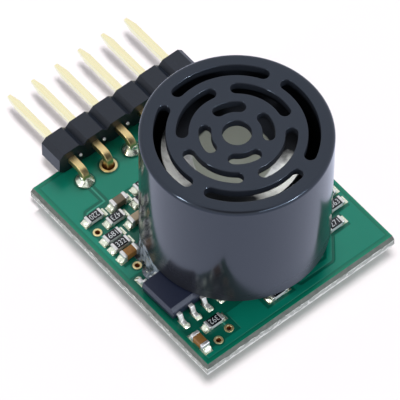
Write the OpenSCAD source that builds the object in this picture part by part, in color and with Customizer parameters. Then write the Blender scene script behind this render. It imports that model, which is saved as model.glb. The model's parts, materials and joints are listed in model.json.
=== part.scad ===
// Small ultrasonic range finder: a bare circuit board that carries one open
// transducer in a slotted case and a right-angle row of six square pins.
// It stands on the soldered tails of the pins. X runs along the pin row,
// Y points the way the pins leave the board, Z is up. The origin is on the
// surface it stands on, under the middle of its length and width.

/* [Board] */
// Width of the board, along the pin row
board_w = 20; // [18:0.5:26]
// Length of the board, from its front edge to the pin row's edge
board_l = 22.8; // [22.4:0.4:30]
// Thickness of the board
board_t = 1.6; // [1.2:0.1:2.4]
// Depth of the scored groove along each edge, from each face
score_depth = 0.5; // [0.2:0.05:0.55]
// Full angle of the scored groove in degrees
score_angle = 30; // [20:5:60]
// Thickness of the copper pads that stand above the board's faces
pad_t = 0.05; // [0.03:0.01:0.1]
// How far the transducer and the pin row lie right of the board's middle
line_x = 0.15; // [-0.5:0.05:0.5]

/* [Pin row] */
// Distance between neighbouring pins
pitch = 2.54; // [2.3:0.02:2.8]
// Thickness of the square pin wire
pin_w = 0.64; // [0.5:0.02:0.7]
// Height of the plastic strip above the board
strip_h = 2.54; // [2.2:0.02:3]
// Depth of the plastic strip along the pins
strip_d = 2.4; // [2:0.1:3.5]
// Size of the chamfers that part the strip's six blocks
strip_chamfer = 0.45; // [0.2:0.05:0.6]
// Length of the pins beyond the strip
pin_free = 6; // [4:0.5:12]
// Distance from the board's back edge to the row of holes
hole_inset = 2.2; // [1.9:0.1:4]
// Distance from the row of holes to the strip's front face
strip_gap = 1.75; // [1.5:0.05:2]
// Radius of the bend in each pin, at the middle of the wire
bend_r = 0.72; // [0.5:0.02:0.9]
// How far the soldered tails reach below the board
tail = 1.5; // [1.4:0.1:3]
// Diameter of the plated holes for the pins
pin_hole_d = 1.1; // [1:0.05:1.2]
// Diameter of the copper ring round each pin hole
pin_ring_d = 1.55; // [1.45:0.05:2.1]

/* [Transducer] */
// Diameter of the transducer's case
case_d = 16; // [14:0.5:18]
// Height of the case
case_h = 12.6; // [9:0.2:16]
// Thickness of the case's round wall
case_wall = 0.6; // [0.4:0.1:1]
// Thickness of the slotted top
top_t = 0.75; // [0.5:0.05:1.2]
// Radius of the rounded edge round the top
rim_r = 0.4; // [0.1:0.05:0.6]
// Distance from the board's front edge to the transducer's axis
axis_inset = 8.65; // [8.2:0.05:11]
// Gap between the amplifier chip and the case above it
under_gap = 0.2; // [0.1:0.05:1]
// Distance between the two terminals
terminal_gap = 10; // [9:0.2:11]
// Diameter of the terminals
terminal_d = 0.7; // [0.5:0.05:0.8]
// Diameter of the plated holes for the terminals
terminal_hole_d = 0.9; // [0.85:0.05:1.1]
// Diameter of the copper ring round each terminal hole
terminal_ring_d = 1.8; // [1.6:0.05:2.4]

/* [Slots in the top] */
// Width of the curved slots
slot_w = 1; // [0.6:0.1:1.2]
// Diameter of the hole in the middle
eye_d = 2.4; // [1.5:0.1:3]
// Radius of the inner ring of slots
inner_ring_r = 2.6; // [2.5:0.1:2.8]
// Radius of the middle ring of slots
middle_ring_r = 4.45; // [4.2:0.05:4.7]
// Radius of the outer ring of slots
outer_ring_r = 6.3; // [6.1:0.1:6.5]
// Angle from end to end of an inner slot, between its round ends
inner_sweep = 40; // [20:5:55]
// Angle from end to end of a middle slot, between its round ends
middle_sweep = 61; // [30:1:68]
// Angle from end to end of an outer slot, between its round ends
outer_sweep = 70; // [40:1:76]
// Turn of the slot pattern
slot_turn = -25; // [-90:1:90]

/* [Inside the transducer] */
// Depth of the resonator's flat floor below the case's top face
dish_depth = 3.25; // [3:0.05:5]
// Radius of the resonator's flat floor
dish_floor_r = 3.7; // [3:0.1:4.2]
// Radius of the resonator's rim
dish_rim_r = 5.25; // [4.8:0.05:6.5]
// Height of the resonator's sloping wall
dish_rise = 1.15; // [0.5:0.05:1.6]
// Thickness of the resonator's sheet
dish_t = 0.25; // [0.15:0.05:0.4]
// Thickness of the metal plate that vibrates
plate_t = 0.25; // [0.15:0.05:0.4]
// Thickness of the piezo disc under the plate
piezo_t = 0.4; // [0.2:0.05:0.6]
// Height of the soft ring that carries the plate
ring_h = 1.2; // [0.8:0.1:2]
// Thickness of the base that closes the case
base_t = 1.5; // [1:0.1:2.5]
// How far the base sits up inside the case
base_recess = 0.3; // [0.1:0.1:1]
// Diameter of the fine wires to the piezo disc
wire_d = 0.25; // [0.15:0.05:0.4]

/* [Chips] */
// Length of the small chip parts
chip_l = 1.6; // [1.4:0.1:1.7]
// Width of the small chip parts
chip_w = 0.8; // [0.6:0.05:0.85]
// Height of the chip resistors
resistor_h = 0.45; // [0.3:0.05:0.6]
// Height of the chip capacitors
capacitor_h = 0.8; // [0.5:0.05:0.95]
// Length of the tinned end on each chip part
end_l = 0.35; // [0.2:0.05:0.45]
// Reach of the solder beyond each end of a chip part
fillet_l = 0.4; // [0.25:0.05:0.42]
// Length of the amplifier chip's body
amp_l = 4.9; // [4.7:0.1:5.2]
// Width of the amplifier chip's body
amp_w = 3.9; // [3.6:0.1:4.2]
// Height of the amplifier chip above the board
amp_h = 1.4; // [1.2:0.05:1.75]
// Distance between the amplifier's leads
amp_pitch = 1.27; // [1.2:0.01:1.3]
// Length of the controller chip's body, under the board
control_l = 6.5; // [6.4:0.1:7]
// Width of the controller chip's body
control_w = 4.4; // [4:0.1:4.6]
// Height of the controller chip below the board
control_h = 1.1; // [0.9:0.05:1.2]
// Distance between the controller's leads
control_pitch = 0.65; // [0.6:0.01:0.65]
// Diameter of the small plated holes that join the board's two faces
via_d = 0.45; // [0.3:0.05:0.6]
// Diameter of the copper ring round each small plated hole
via_ring_d = 0.8; // [0.75:0.05:0.9]

/* [Hidden] */
$fn = 64;

// The pin row has six ways. Its second pin is soldered on the underside only.
ways = 6;
bare_way = 2;

// Overlap that keeps a cut clear of the face it starts from
eps = 0.1;
// Gap all round a pin or terminal in the plastic that holds it
fit_gap = 0.02;
// Thickness of the copper plated on a hole's wall
plating_t = 0.05;
// Lengths of the tapers at a pin's free tip and at its soldered tail, and half
// the width they leave
tip_taper = 1.1;
tail_taper = 0.5;
pin_point = pin_w / 4;
// Small pips on the strip's front face, right of each pin
pip_d = 0.3;
pip_h = 0.15;
pip_right = 0.86;
// Heights of the solder cones above and below the board
top_cone_h = 0.95;
tail_cone_h = 1.1;
// How far a plated layer, a chip's coat or a tinned end stands proud
skin_t = 0.03;

// Levels, from the surface the part stands on
board_z = tail;
top_z = board_z + board_t;
pin_z = top_z + strip_h / 2;
case_z = top_z + amp_h + under_gap;
case_top_z = case_z + case_h;

// Distances along Y
score_out = score_depth * tan(score_angle / 2);
tip_reach = strip_gap + strip_d + pin_free - hole_inset;
span_y = board_l + score_out + tip_reach;
front_y = score_out - span_y / 2;
back_y = front_y + board_l;
mid_y = (front_y + back_y) / 2;
hole_y = back_y - hole_inset;
strip_y = hole_y + strip_gap;
tip_y = strip_y + strip_d + pin_free;
axis_y = front_y + axis_inset;
left_x = -board_w / 2;
right_x = board_w / 2;

// Inside the transducer, from the top down
case_r = case_d / 2;
bore_r = case_r - case_wall;
dish_z = case_top_z - dish_depth - dish_t;
plate_z = dish_z - plate_t;
piezo_z = plate_z - piezo_t;
ring_z = plate_z - ring_h;
base_z = case_z + base_recess;
base_top_z = base_z + base_t;
pillar_r = (terminal_gap - terminal_d) / 2 - 0.25;
pillar_wall = 1.3;
pillar_bore_r = pillar_r - pillar_wall;
ring_r = pillar_r - 0.1;
ring_bore_r = pillar_bore_r + 0.2;
plate_r = ring_r;
piezo_r = ring_bore_r - 0.4;
notch_w = 1;
notch_h = 1.6;
// The dab of glue: its width, its place along Y from the axis, and how far it
// reaches outside the case and inside the wall
glue_w = 1.4;
glue_at = 2.5;
glue_out = 0.22;
glue_in = 0.5;
terminal_top_z = base_top_z + 0.8;
wire_pass_z = ring_z - 0.6;
wire_bend_r = 0.4;

// Places of the chip parts: distance from a side edge and from the front or
// back edge to the part's middle, and its turn in degrees. The parts on the
// underside keep their distance from the controller chip's middle instead.
left_back_resistors = [[1.95, 5.7, 0], [3.3, 6.9, 0], [1.95, 8.15, 0], [1.95, 9.2, 0],
                       [7.2, 5.7, 0], [6.3, 6.8, 0]];
left_front_resistors = [[2.95, 2.75, 0], [8.85, 1.65, 0]];
right_front_resistors = [[1.8, 5.3, 0], [3.1, 3.8, 0], [1.65, 6.55, 0]];
left_back_capacitors = [[4.5, 5.85, 0], [1.9, 10.4, 0], [4.6, 8.1, 0]];
left_front_capacitors = [[0.8, 1.95, 90]];
beside_resistor = [8.9, 0.95, 90];
beside_capacitors = [[6.8, 0.95, 90], [5.2, -3.25, 0]];
amp_place = [2.87, 7.05, 1.5];
control_place = [5.6, 8.65, 0];
left_back_vias = [[1.3, 6.95], [1.75, 11.6]];
left_front_vias = [[3.6, 1.6], [2.2, 1.25]];

function from_left_back(p) = [left_x + p[0], back_y - p[1], p[2]];
function from_left_front(p) = [left_x + p[0], front_y + p[1], p[2]];
function from_right_front(p) = [right_x - p[0], front_y + p[1], p[2]];
function beside_controller(p) = [control_at[0] + p[0], control_at[1] + p[1], p[2]];

resistor_places = concat([for (p = left_back_resistors) from_left_back(p)],
                         [for (p = left_front_resistors) from_left_front(p)],
                         [for (p = right_front_resistors) from_right_front(p)]);
capacitor_places = concat([for (p = left_back_capacitors) from_left_back(p)],
                          [for (p = left_front_capacitors) from_left_front(p)]);
amp_at = from_left_front(amp_place);
control_at = from_left_front(control_place);
under_resistor_places = [beside_controller(beside_resistor)];
under_capacitor_places = [for (p = beside_capacitors) beside_controller(p)];
via_places = concat([for (p = left_back_vias) [left_x + p[0], back_y - p[1]]],
                    [for (p = left_front_vias) [left_x + p[0], front_y + p[1]]]);

function pin_x(way) = line_x + (way - (ways + 1) / 2) * pitch;
terminal_ys = [axis_y - terminal_gap / 2, axis_y + terminal_gap / 2];

// Leads: foot, rise and width
amp_leads = 4;
amp_lead_w = 0.42;
amp_lead_t = 0.2;
amp_lead_out = 1.05;
control_leads = 10;
control_lead_w = 0.24;
control_lead_t = 0.13;
control_lead_out = 1;
foot_l = 0.6;
foot_fillet_l = 0.25;
foot_lip = 0.02;
solder_lip = 0.05;
// Draft of a moulded chip body's sides in degrees, and the bevel along the
// amplifier's edge beside its first lead
chip_draft = 7;
amp_bevel = 0.3;
// Extra length and width of a lead's pad round its foot
pad_over_l = 0.5;
pad_over_w = 0.1;
// Gap between a leaded chip's body and its pads' level
chip_stand = 0.1;
amp_mid = (chip_stand + amp_h - pad_t) / 2;
control_mid = (chip_stand + control_h - pad_t) / 2;

// Puts what follows on the board's top face, at a place with a turn
module on_top(place) {
    translate([place[0], place[1], top_z + pad_t]) rotate([0, 0, place[2]]) children();
}

// Puts what follows on the board's underside, upside down
module on_underside(place) {
    translate([place[0], place[1], board_z - pad_t]) rotate([180, 0, place[2]]) children();
}

// Section of the board across one pair of edges: the scored grooves leave a
// thin web at mid thickness that stands proud where the panel was snapped
module scored_section(width) {
    out = width / 2 + score_out;
    polygon([[-width / 2, 0], [width / 2, 0], [out, score_depth], [out, board_t - score_depth],
             [width / 2, board_t], [-width / 2, board_t], [-out, board_t - score_depth],
             [-out, score_depth]]);
}

module circuit_board() {
    long = max(board_w, board_l) + 2;
    color("seagreen") difference() {
        intersection() {
            translate([0, mid_y + long / 2, board_z]) rotate([90, 0, 0])
                linear_extrude(long) scored_section(board_w);
            translate([-long / 2, mid_y, board_z]) rotate([90, 0, 90])
                linear_extrude(long) scored_section(board_l);
        }
        for (way = [1:ways]) drilled(pin_x(way), hole_y, pin_hole_d);
        for (y = terminal_ys) drilled(line_x, y, terminal_hole_d);
        for (p = via_places) drilled(p[0], p[1], via_d);
    }
}

// Hole through the board, wide enough for its plating
module drilled(x, y, d) {
    translate([x, y, board_z - eps]) cylinder(h = board_t + 2 * eps, d = d + 2 * plating_t);
}

// Plated hole: a copper tube with a flat ring on each face of the board
module plated_hole(x, y, d, ring_d) {
    translate([x, y, 0]) difference() {
        union() {
            translate([0, 0, board_z - pad_t]) cylinder(h = board_t + 2 * pad_t, d = d + 2 * plating_t);
            translate([0, 0, board_z - pad_t]) cylinder(h = pad_t, d = ring_d);
            translate([0, 0, top_z]) cylinder(h = pad_t, d = ring_d);
        }
        translate([0, 0, board_z - pad_t - eps]) cylinder(h = board_t + 2 * pad_t + 2 * eps, d = d);
    }
}

module plated_holes() {
    color("goldenrod") {
        for (way = [1:ways]) plated_hole(pin_x(way), hole_y, pin_hole_d, pin_ring_d);
        for (y = terminal_ys) plated_hole(line_x, y, terminal_hole_d, terminal_ring_d);
        for (p = via_places) plated_hole(p[0], p[1], via_d, via_ring_d);
    }
}

// Pair of pads under a chip part, in the part's own place
module chip_pad_pair() {
    for (side = [-1, 1])
        translate([side * chip_l / 2, 0, -pad_t / 2])
            cube([2 * fillet_l, chip_w, pad_t], center = true);
}

// Two rows of pads under a leaded chip
module lead_pad_rows(count, step, width, out, lead_w) {
    for (side = [-1, 1]) for (i = [0:count - 1])
        translate([(i - (count - 1) / 2) * step, side * (width / 2 + out - foot_l / 2), -pad_t / 2])
            cube([lead_w + pad_over_w, foot_l + pad_over_l, pad_t], center = true);
}

module chip_pads() {
    color("goldenrod") {
        for (p = resistor_places) on_top(p) chip_pad_pair();
        for (p = capacitor_places) on_top(p) chip_pad_pair();
        for (p = under_resistor_places) on_underside(p) chip_pad_pair();
        for (p = under_capacitor_places) on_underside(p) chip_pad_pair();
        on_top(amp_at) lead_pad_rows(amp_leads, amp_pitch, amp_w, amp_lead_out, amp_lead_w);
        on_underside(control_at)
            lead_pad_rows(control_leads, control_pitch, control_w, control_lead_out, control_lead_w);
    }
}

// Outline of the plastic strip seen along the pins: one chamfered block for
// each way, so that V grooves part the blocks above and below
module strip_outline() {
    c = strip_chamfer;
    left = pin_x(1) - pitch / 2;
    over = [for (i = [0:ways - 1]) each
        [[left + i * pitch, strip_h - c], [left + i * pitch + c, strip_h],
         [left + (i + 1) * pitch - c, strip_h]]];
    under = [for (i = [ways:-1:1]) each
        [[left + i * pitch, c], [left + i * pitch - c, 0], [left + (i - 1) * pitch + c, 0]]];
    polygon(concat(over, [[left + ways * pitch, strip_h - c]], under, [[left, c]]));
}

module strip_block() {
    hole = pin_w + 2 * fit_gap;
    color("#23262d") {
        difference() {
            translate([0, strip_y + strip_d, top_z]) rotate([90, 0, 0])
                linear_extrude(strip_d) strip_outline();
            for (way = [1:ways])
                translate([pin_x(way) - hole / 2, strip_y - eps, pin_z - hole / 2])
                    cube([hole, strip_d + 2 * eps, hole]);
        }
        for (way = [1:ways]) translate([pin_x(way) + pip_right, strip_y + pip_h, pin_z])
            rotate([90, 0, 0]) cylinder(h = 2 * pip_h, d = pip_d);
    }
}

// Side view of one pin: level wire, bend and tail, with tapered ends
module pin_side() {
    half = pin_w / 2;
    turn_y = hole_y + bend_r;
    turn_z = pin_z - bend_r;
    polygon([[turn_y, pin_z - half], [tip_y - tip_taper, pin_z - half], [tip_y, pin_z - pin_point],
             [tip_y, pin_z + pin_point], [tip_y - tip_taper, pin_z + half], [turn_y, pin_z + half]]);
    polygon([[hole_y - half, turn_z], [hole_y - half, tail_taper], [hole_y - pin_point, 0],
             [hole_y + pin_point, 0], [hole_y + half, tail_taper], [hole_y + half, turn_z]]);
    translate([turn_y, turn_z]) intersection() {
        difference() {
            circle(bend_r + half);
            circle(bend_r - half);
        }
        translate([-bend_r - pin_w, 0]) square(bend_r + pin_w);
    }
}

// Solid of one pin. Its ends are tapered on all four sides.
module pin(way) {
    half = pin_w / 2;
    translate([pin_x(way), 0, 0]) difference() {
        translate([-half, 0, 0]) rotate([90, 0, 90]) linear_extrude(pin_w) pin_side();
        for (side = [-1, 1]) {
            translate([0, 0, pin_z - pin_w]) linear_extrude(2 * pin_w)
                polygon([[side * (half + eps), tip_y - tip_taper], [side * half, tip_y - tip_taper],
                         [side * pin_point, tip_y], [side * pin_point, tip_y + eps],
                         [side * (half + eps), tip_y + eps]]);
            translate([0, hole_y + pin_w, 0]) rotate([90, 0, 0]) linear_extrude(2 * pin_w)
                polygon([[side * (half + eps), tail_taper], [side * half, tail_taper],
                         [side * pin_point, 0], [side * pin_point, -eps], [side * (half + eps), -eps]]);
        }
    }
}

module gold_pin(way) {
    color("#e6d28c") pin(way);
}

// Solder cone with a hollow flank, standing on a pad of the given ring
module solder_cone(ring_d, height, neck_r) {
    foot_r = ring_d / 2;
    rotate_extrude() difference() {
        square([foot_r, height]);
        translate([foot_r, height]) scale([foot_r - neck_r, height]) circle(1);
    }
}

module pin_solder() {
    neck = pin_w * 0.75;
    color("silver") for (way = [1:ways]) difference() {
        union() {
            if (way != bare_way)
                translate([pin_x(way), hole_y, top_z + pad_t]) solder_cone(pin_ring_d, top_cone_h, neck);
            translate([pin_x(way), hole_y, board_z - pad_t]) mirror([0, 0, 1])
                solder_cone(pin_ring_d, tail_cone_h, neck);
        }
        pin(way);
    }
}

// One curved slot with round ends, as a cutter that starts at z = 0
module ring_slot(radius, middle, sweep, height) {
    rotate([0, 0, middle - sweep / 2]) rotate_extrude(angle = sweep)
        translate([radius - slot_w / 2, 0]) square([slot_w, height]);
    for (side = [-1, 1])
        rotate([0, 0, middle + side * sweep / 2]) translate([radius, 0, 0])
            cylinder(h = height, d = slot_w);
}

// Four slots on one ring
module slot_ring(radius, turn, sweep, height) {
    for (quarter = [0:3]) ring_slot(radius, turn + 90 * quarter, sweep, height);
}

// Cup open at the bottom: a round wall, a rounded rim and the slotted top.
// The middle ring of slots is turned half a step against the other two.
module transducer_case() {
    cut_h = top_t + 2 * eps;
    color("#2b2f38") translate([line_x, axis_y, 0]) difference() {
        translate([0, 0, case_z]) rotate_extrude() {
            square([case_r, case_h - rim_r]);
            square([case_r - rim_r, case_h]);
            translate([case_r - rim_r, case_h - rim_r]) intersection() {
                circle(rim_r);
                square(rim_r);
            }
        }
        translate([0, 0, case_z - eps]) cylinder(h = case_h - top_t + eps, r = bore_r);
        translate([0, 0, case_top_z - top_t - eps]) {
            cylinder(h = cut_h, d = eye_d);
            slot_ring(inner_ring_r, slot_turn, inner_sweep, cut_h);
            slot_ring(middle_ring_r, slot_turn + 45, middle_sweep, cut_h);
            slot_ring(outer_ring_r, slot_turn, outer_sweep, cut_h);
        }
    }
}

// Plug that closes the case from below, with a hollow pillar up the middle
// that is notched at the top where the fine wires pass
module transducer_base() {
    color("#3a3a36") translate([line_x, axis_y, 0]) difference() {
        union() {
            translate([0, 0, base_z]) cylinder(h = base_t, r = bore_r - fit_gap);
            translate([0, 0, base_z]) cylinder(h = ring_z - base_z, r = pillar_r);
        }
        translate([0, 0, base_top_z]) cylinder(h = ring_z - base_top_z + eps, r = pillar_bore_r);
        translate([-notch_w / 2, -pillar_r - eps, ring_z - notch_h])
            cube([notch_w, 2 * (pillar_r + eps), notch_h + eps]);
        for (side = [-1, 1])
            translate([0, side * terminal_gap / 2, base_z - eps])
                cylinder(h = base_t + 2 * eps, d = terminal_d + 2 * fit_gap);
    }
}

module terminal(y) {
    color("silver") translate([line_x, y, 0]) {
        cylinder(h = 0.2, d1 = terminal_d - 0.3, d2 = terminal_d);
        translate([0, 0, 0.2]) cylinder(h = terminal_top_z - 0.2, d = terminal_d);
    }
}

module terminal_solder() {
    color("silver") for (y = terminal_ys) translate([line_x, y, board_z - pad_t]) mirror([0, 0, 1])
        difference() {
            solder_cone(terminal_ring_d, tail_cone_h, terminal_d * 0.7);
            translate([0, 0, -eps]) cylinder(h = tail + 2 * eps, d = terminal_d);
        }
}

// Soft ring with rounded edges between the pillar and the metal plate
// Room that a part on the board's top needs in plan, seen from above
module keep_clear(p, size) {
    translate([p[0], p[1]]) rotate(p[2]) square(size, center = true);
}

// Dab of clear glue between the board and the case's edge, beside the amplifier.
// It keeps clear of the parts next to it.
module glue_dab() {
    amp_room = [(amp_leads - 1) * amp_pitch + 1, amp_w + 2 * amp_lead_out + 0.7];
    color("gainsboro") translate([0, 0, top_z]) linear_extrude(case_z - top_z) difference() {
        translate([line_x, axis_y]) intersection() {
            difference() {
                circle(case_r + glue_out);
                circle(bore_r - glue_in);
            }
            translate([-2 * case_r, glue_at - glue_w / 2]) square([2 * case_r, glue_w]);
        }
        keep_clear(capacitor_places[1], [chip_l + 2 * fillet_l + 0.2, chip_w + 0.2]);
        keep_clear(amp_at, amp_room);
        for (p = via_places) translate(p) circle(via_ring_d / 2 + 0.1);
    }
}

module support_ring() {
    edge = 0.15;
    width = ring_r - ring_bore_r;
    color("#d8d6cc") translate([line_x, axis_y, ring_z]) rotate_extrude()
        translate([ring_bore_r, 0]) {
            translate([edge, 0]) square([width - 2 * edge, ring_h]);
            translate([0, edge]) square([width, ring_h - 2 * edge]);
            for (u = [edge, width - edge]) for (v = [edge, ring_h - edge])
                translate([u, v]) circle(edge);
        }
}

module metal_plate() {
    color("#b9b7ae") translate([line_x, axis_y, plate_z]) cylinder(h = plate_t, r = plate_r);
}

module piezo_disc() {
    color("#8d8878") translate([line_x, axis_y, piezo_z]) cylinder(h = piezo_t, r = piezo_r);
}

// Shallow pressed dish: a flat floor and a sloping wall that radiates sound
module resonator_dish() {
    color("#c8c8c4") translate([line_x, axis_y, dish_z]) rotate_extrude()
        polygon([[0, 0], [dish_floor_r, 0], [dish_rim_r, dish_rise], [dish_rim_r, dish_rise + dish_t],
                 [dish_floor_r - dish_t / 3, dish_t], [0, dish_t]]);
}

// Quarter turn of the fine wire, from straight up to level along +Y
module wire_bend() {
    translate([0, wire_bend_r, 0]) rotate([0, 0, 90]) rotate([90, 0, 0])
        rotate_extrude(angle = 90) translate([wire_bend_r, 0]) circle(d = wire_d);
}

// Fine wire from a terminal's top, through the pillar's notch, up to the disc
// or the plate. It is drawn for the back terminal and turned for the front.
module lead_wire(side, end_r, end_z) {
    start_r = terminal_gap / 2;
    color("#b08d57") translate([line_x, axis_y, 0]) rotate([0, 0, side > 0 ? 0 : 180]) {
        translate([0, start_r, terminal_top_z])
            cylinder(h = wire_pass_z - wire_bend_r - terminal_top_z, d = wire_d);
        translate([0, start_r, wire_pass_z - wire_bend_r]) mirror([0, 1, 0]) wire_bend();
        translate([0, end_r + wire_bend_r, wire_pass_z]) rotate([-90, 0, 0])
            cylinder(h = start_r - end_r - 2 * wire_bend_r, d = wire_d);
        translate([0, end_r, wire_pass_z + wire_bend_r]) mirror([0, 0, 1]) wire_bend();
        translate([0, end_r, wire_pass_z + wire_bend_r])
            cylinder(h = end_z - wire_pass_z - wire_bend_r, d = wire_d);
    }
}

// Chip resistor: white ceramic block, dark coat on top, tinned ends
module chip_resistor() {
    color("whitesmoke") translate([-chip_l / 2 + skin_t, -chip_w / 2, skin_t])
        cube([chip_l - 2 * skin_t, chip_w, resistor_h - skin_t]);
    color("#23262d") translate([-chip_l / 2 + end_l, -chip_w / 2 + skin_t, resistor_h])
        cube([chip_l - 2 * end_l, chip_w - 2 * skin_t, skin_t]);
    color("silver") for (side = [-1, 1])
        translate([side * (chip_l - end_l) / 2, 0, (resistor_h + skin_t) / 2])
            cube([end_l, chip_w + skin_t, resistor_h + skin_t], center = true);
}

// Chip capacitor: brown ceramic block with tinned ends
module chip_capacitor() {
    color("#8a6a4f") translate([-chip_l / 2 + skin_t, -chip_w / 2 + skin_t, skin_t])
        cube([chip_l - 2 * skin_t, chip_w - 2 * skin_t, capacitor_h - 2 * skin_t]);
    color("silver") for (side = [-1, 1])
        translate([side * (chip_l - end_l) / 2, 0, capacitor_h / 2])
            cube([end_l, chip_w, capacitor_h], center = true);
}

// Section of a solder fillet that climbs a wall at x = 0. Its flank is a
// hollow quarter of an ellipse, and its edges end in a thin lip.
module fillet_section(reach, height, lip) {
    polygon(concat([[0, 0], [reach, 0]],
                   [for (a = [0:15:90])
                       [reach - (reach - lip) * sin(a), height - (height - lip) * cos(a)]],
                   [[0, height]]));
}

// Hollow solder fillet at each end of a chip part
module chip_fillets(height) {
    for (side = [0, 180])
        rotate([0, 0, side]) translate([chip_l / 2, chip_w / 2, 0]) rotate([90, 0, 0])
            linear_extrude(chip_w) fillet_section(fillet_l, height, solder_lip);
}

module chip_solder() {
    resistor_fillet = resistor_h * 0.85;
    capacitor_fillet = capacitor_h * 0.7;
    color("silver") {
        for (p = resistor_places) on_top(p) chip_fillets(resistor_fillet);
        for (p = capacitor_places) on_top(p) chip_fillets(capacitor_fillet);
        for (p = under_resistor_places) on_underside(p) chip_fillets(resistor_fillet);
        for (p = under_capacitor_places) on_underside(p) chip_fillets(capacitor_fillet);
    }
}

// Moulded chip body with drafted sides above and below its lead plane, and a
// bevel along the edge beside the first lead
module moulded_body(length, width, height, bevel) {
    mid = (chip_stand + height) / 2;
    draft = (height - mid) * tan(chip_draft);
    intersection() {
        translate([0, width, 0]) rotate([90, 0, 0]) linear_extrude(2 * width)
            polygon([[-length / 2 + draft, chip_stand], [length / 2 - draft, chip_stand], [length / 2, mid],
                     [length / 2 - draft, height], [-length / 2 + draft, height], [-length / 2, mid]]);
        translate([-length, 0, 0]) rotate([90, 0, 90]) linear_extrude(2 * length)
            polygon([[-width / 2 + draft, chip_stand], [width / 2 - draft, chip_stand], [width / 2, mid],
                     [width / 2 - draft, height], [-width / 2 + bevel + draft, height],
                     [-width / 2 + draft / 2, height - bevel], [-width / 2, mid]]);
    }
}

// Two rows of bent leads, from the body's side down to flat feet
module gull_leads(count, step, width, mid, lead_w, lead_t, out) {
    knee = out - foot_l;
    for (side = [0, 180]) rotate([0, 0, side])
        for (i = [0:count - 1])
            translate([(i - (count - 1) / 2) * step - lead_w / 2, width / 2, 0])
                rotate([90, 0, 90]) linear_extrude(lead_w)
                    polygon([[0, mid - lead_t / 2], [knee * 0.35, mid - lead_t / 2], [knee * 0.9, 0],
                             [out, 0], [out, lead_t], [knee * 0.9 + lead_t, lead_t],
                             [knee * 0.35 + lead_t, mid + lead_t / 2], [0, mid + lead_t / 2]]);
}

// Solder in front of each foot of a leaded chip
module foot_solder(count, step, width, lead_w, lead_t, out) {
    for (side = [0, 180]) rotate([0, 0, side])
        for (i = [0:count - 1])
            translate([(i - (count - 1) / 2) * step - lead_w / 2, width / 2 + out, 0])
                rotate([90, 0, 90]) linear_extrude(lead_w)
                    fillet_section(foot_fillet_l, lead_t, foot_lip);
}

module amplifier_body() {
    color("#26282f") on_top(amp_at) moulded_body(amp_l, amp_w, amp_h - pad_t, amp_bevel);
}

module amplifier_leads() {
    color("silver") on_top(amp_at)
        gull_leads(amp_leads, amp_pitch, amp_w, amp_mid, amp_lead_w, amp_lead_t, amp_lead_out);
}

module controller_body() {
    color("#26282f") on_underside(control_at)
        moulded_body(control_l, control_w, control_h - pad_t, 0);
}

module controller_leads() {
    color("silver") on_underside(control_at)
        gull_leads(control_leads, control_pitch, control_w, control_mid, control_lead_w,
                   control_lead_t, control_lead_out);
}

module lead_solder() {
    color("silver") {
        on_top(amp_at) foot_solder(amp_leads, amp_pitch, amp_w, amp_lead_w, amp_lead_t, amp_lead_out);
        on_underside(control_at)
            foot_solder(control_leads, control_pitch, control_w, control_lead_w, control_lead_t,
                        control_lead_out);
    }
}

circuit_board();
plated_holes();
chip_pads();
strip_block();
gold_pin(1);  // pin_1
gold_pin(2);  // pin_2
gold_pin(3);  // pin_3
gold_pin(4);  // pin_4
gold_pin(5);  // pin_5
gold_pin(6);  // pin_6
pin_solder();
transducer_case();
transducer_base();
terminal(terminal_ys[0]);  // terminal_front
terminal(terminal_ys[1]);  // terminal_back
terminal_solder();
support_ring();
metal_plate();
piezo_disc();
resonator_dish();
lead_wire(-1, piezo_r * 0.7, piezo_z);  // lead_wire_front
lead_wire(1, ring_bore_r - 0.2, plate_z);  // lead_wire_back
glue_dab();
amplifier_body();
amplifier_leads();
lead_solder();
on_top(resistor_places[0]) chip_resistor();  // resistor_1
on_top(resistor_places[1]) chip_resistor();  // resistor_2
on_top(resistor_places[2]) chip_resistor();  // resistor_3
on_top(resistor_places[3]) chip_resistor();  // resistor_4
on_top(resistor_places[4]) chip_resistor();  // resistor_5
on_top(resistor_places[5]) chip_resistor();  // resistor_6
on_top(resistor_places[6]) chip_resistor();  // resistor_7
on_top(resistor_places[7]) chip_resistor();  // resistor_8
on_top(resistor_places[8]) chip_resistor();  // resistor_9
on_top(resistor_places[9]) chip_resistor();  // resistor_10
on_top(resistor_places[10]) chip_resistor();  // resistor_11
on_underside(under_resistor_places[0]) chip_resistor();  // resistor_12
on_top(capacitor_places[0]) chip_capacitor();  // capacitor_1
on_top(capacitor_places[1]) chip_capacitor();  // capacitor_2
on_top(capacitor_places[2]) chip_capacitor();  // capacitor_3
on_top(capacitor_places[3]) chip_capacitor();  // capacitor_4
on_underside(under_capacitor_places[0]) chip_capacitor();  // capacitor_5
on_underside(under_capacitor_places[1]) chip_capacitor();  // capacitor_6
chip_solder();
controller_body();
controller_leads();
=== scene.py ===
# %% [markdown]
# # Dressing a small ultrasonic range finder
#
# The real thing is a bare circuit board, 20 mm wide, that carries one open
# transducer in a slotted black case, a right-angle row of six gold pins, an
# eight-lead amplifier chip and a handful of chip resistors and capacitors.
# The solids come ready-made and fixed. This lesson gives each of them the form
# and finish that the eye expects: rounded edges that catch the light, solder
# that is bright and lumpy, a green mask with copper showing through it.

import json
import math

import bmesh
import bpy
from mathutils import Matrix, Vector, noise

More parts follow.
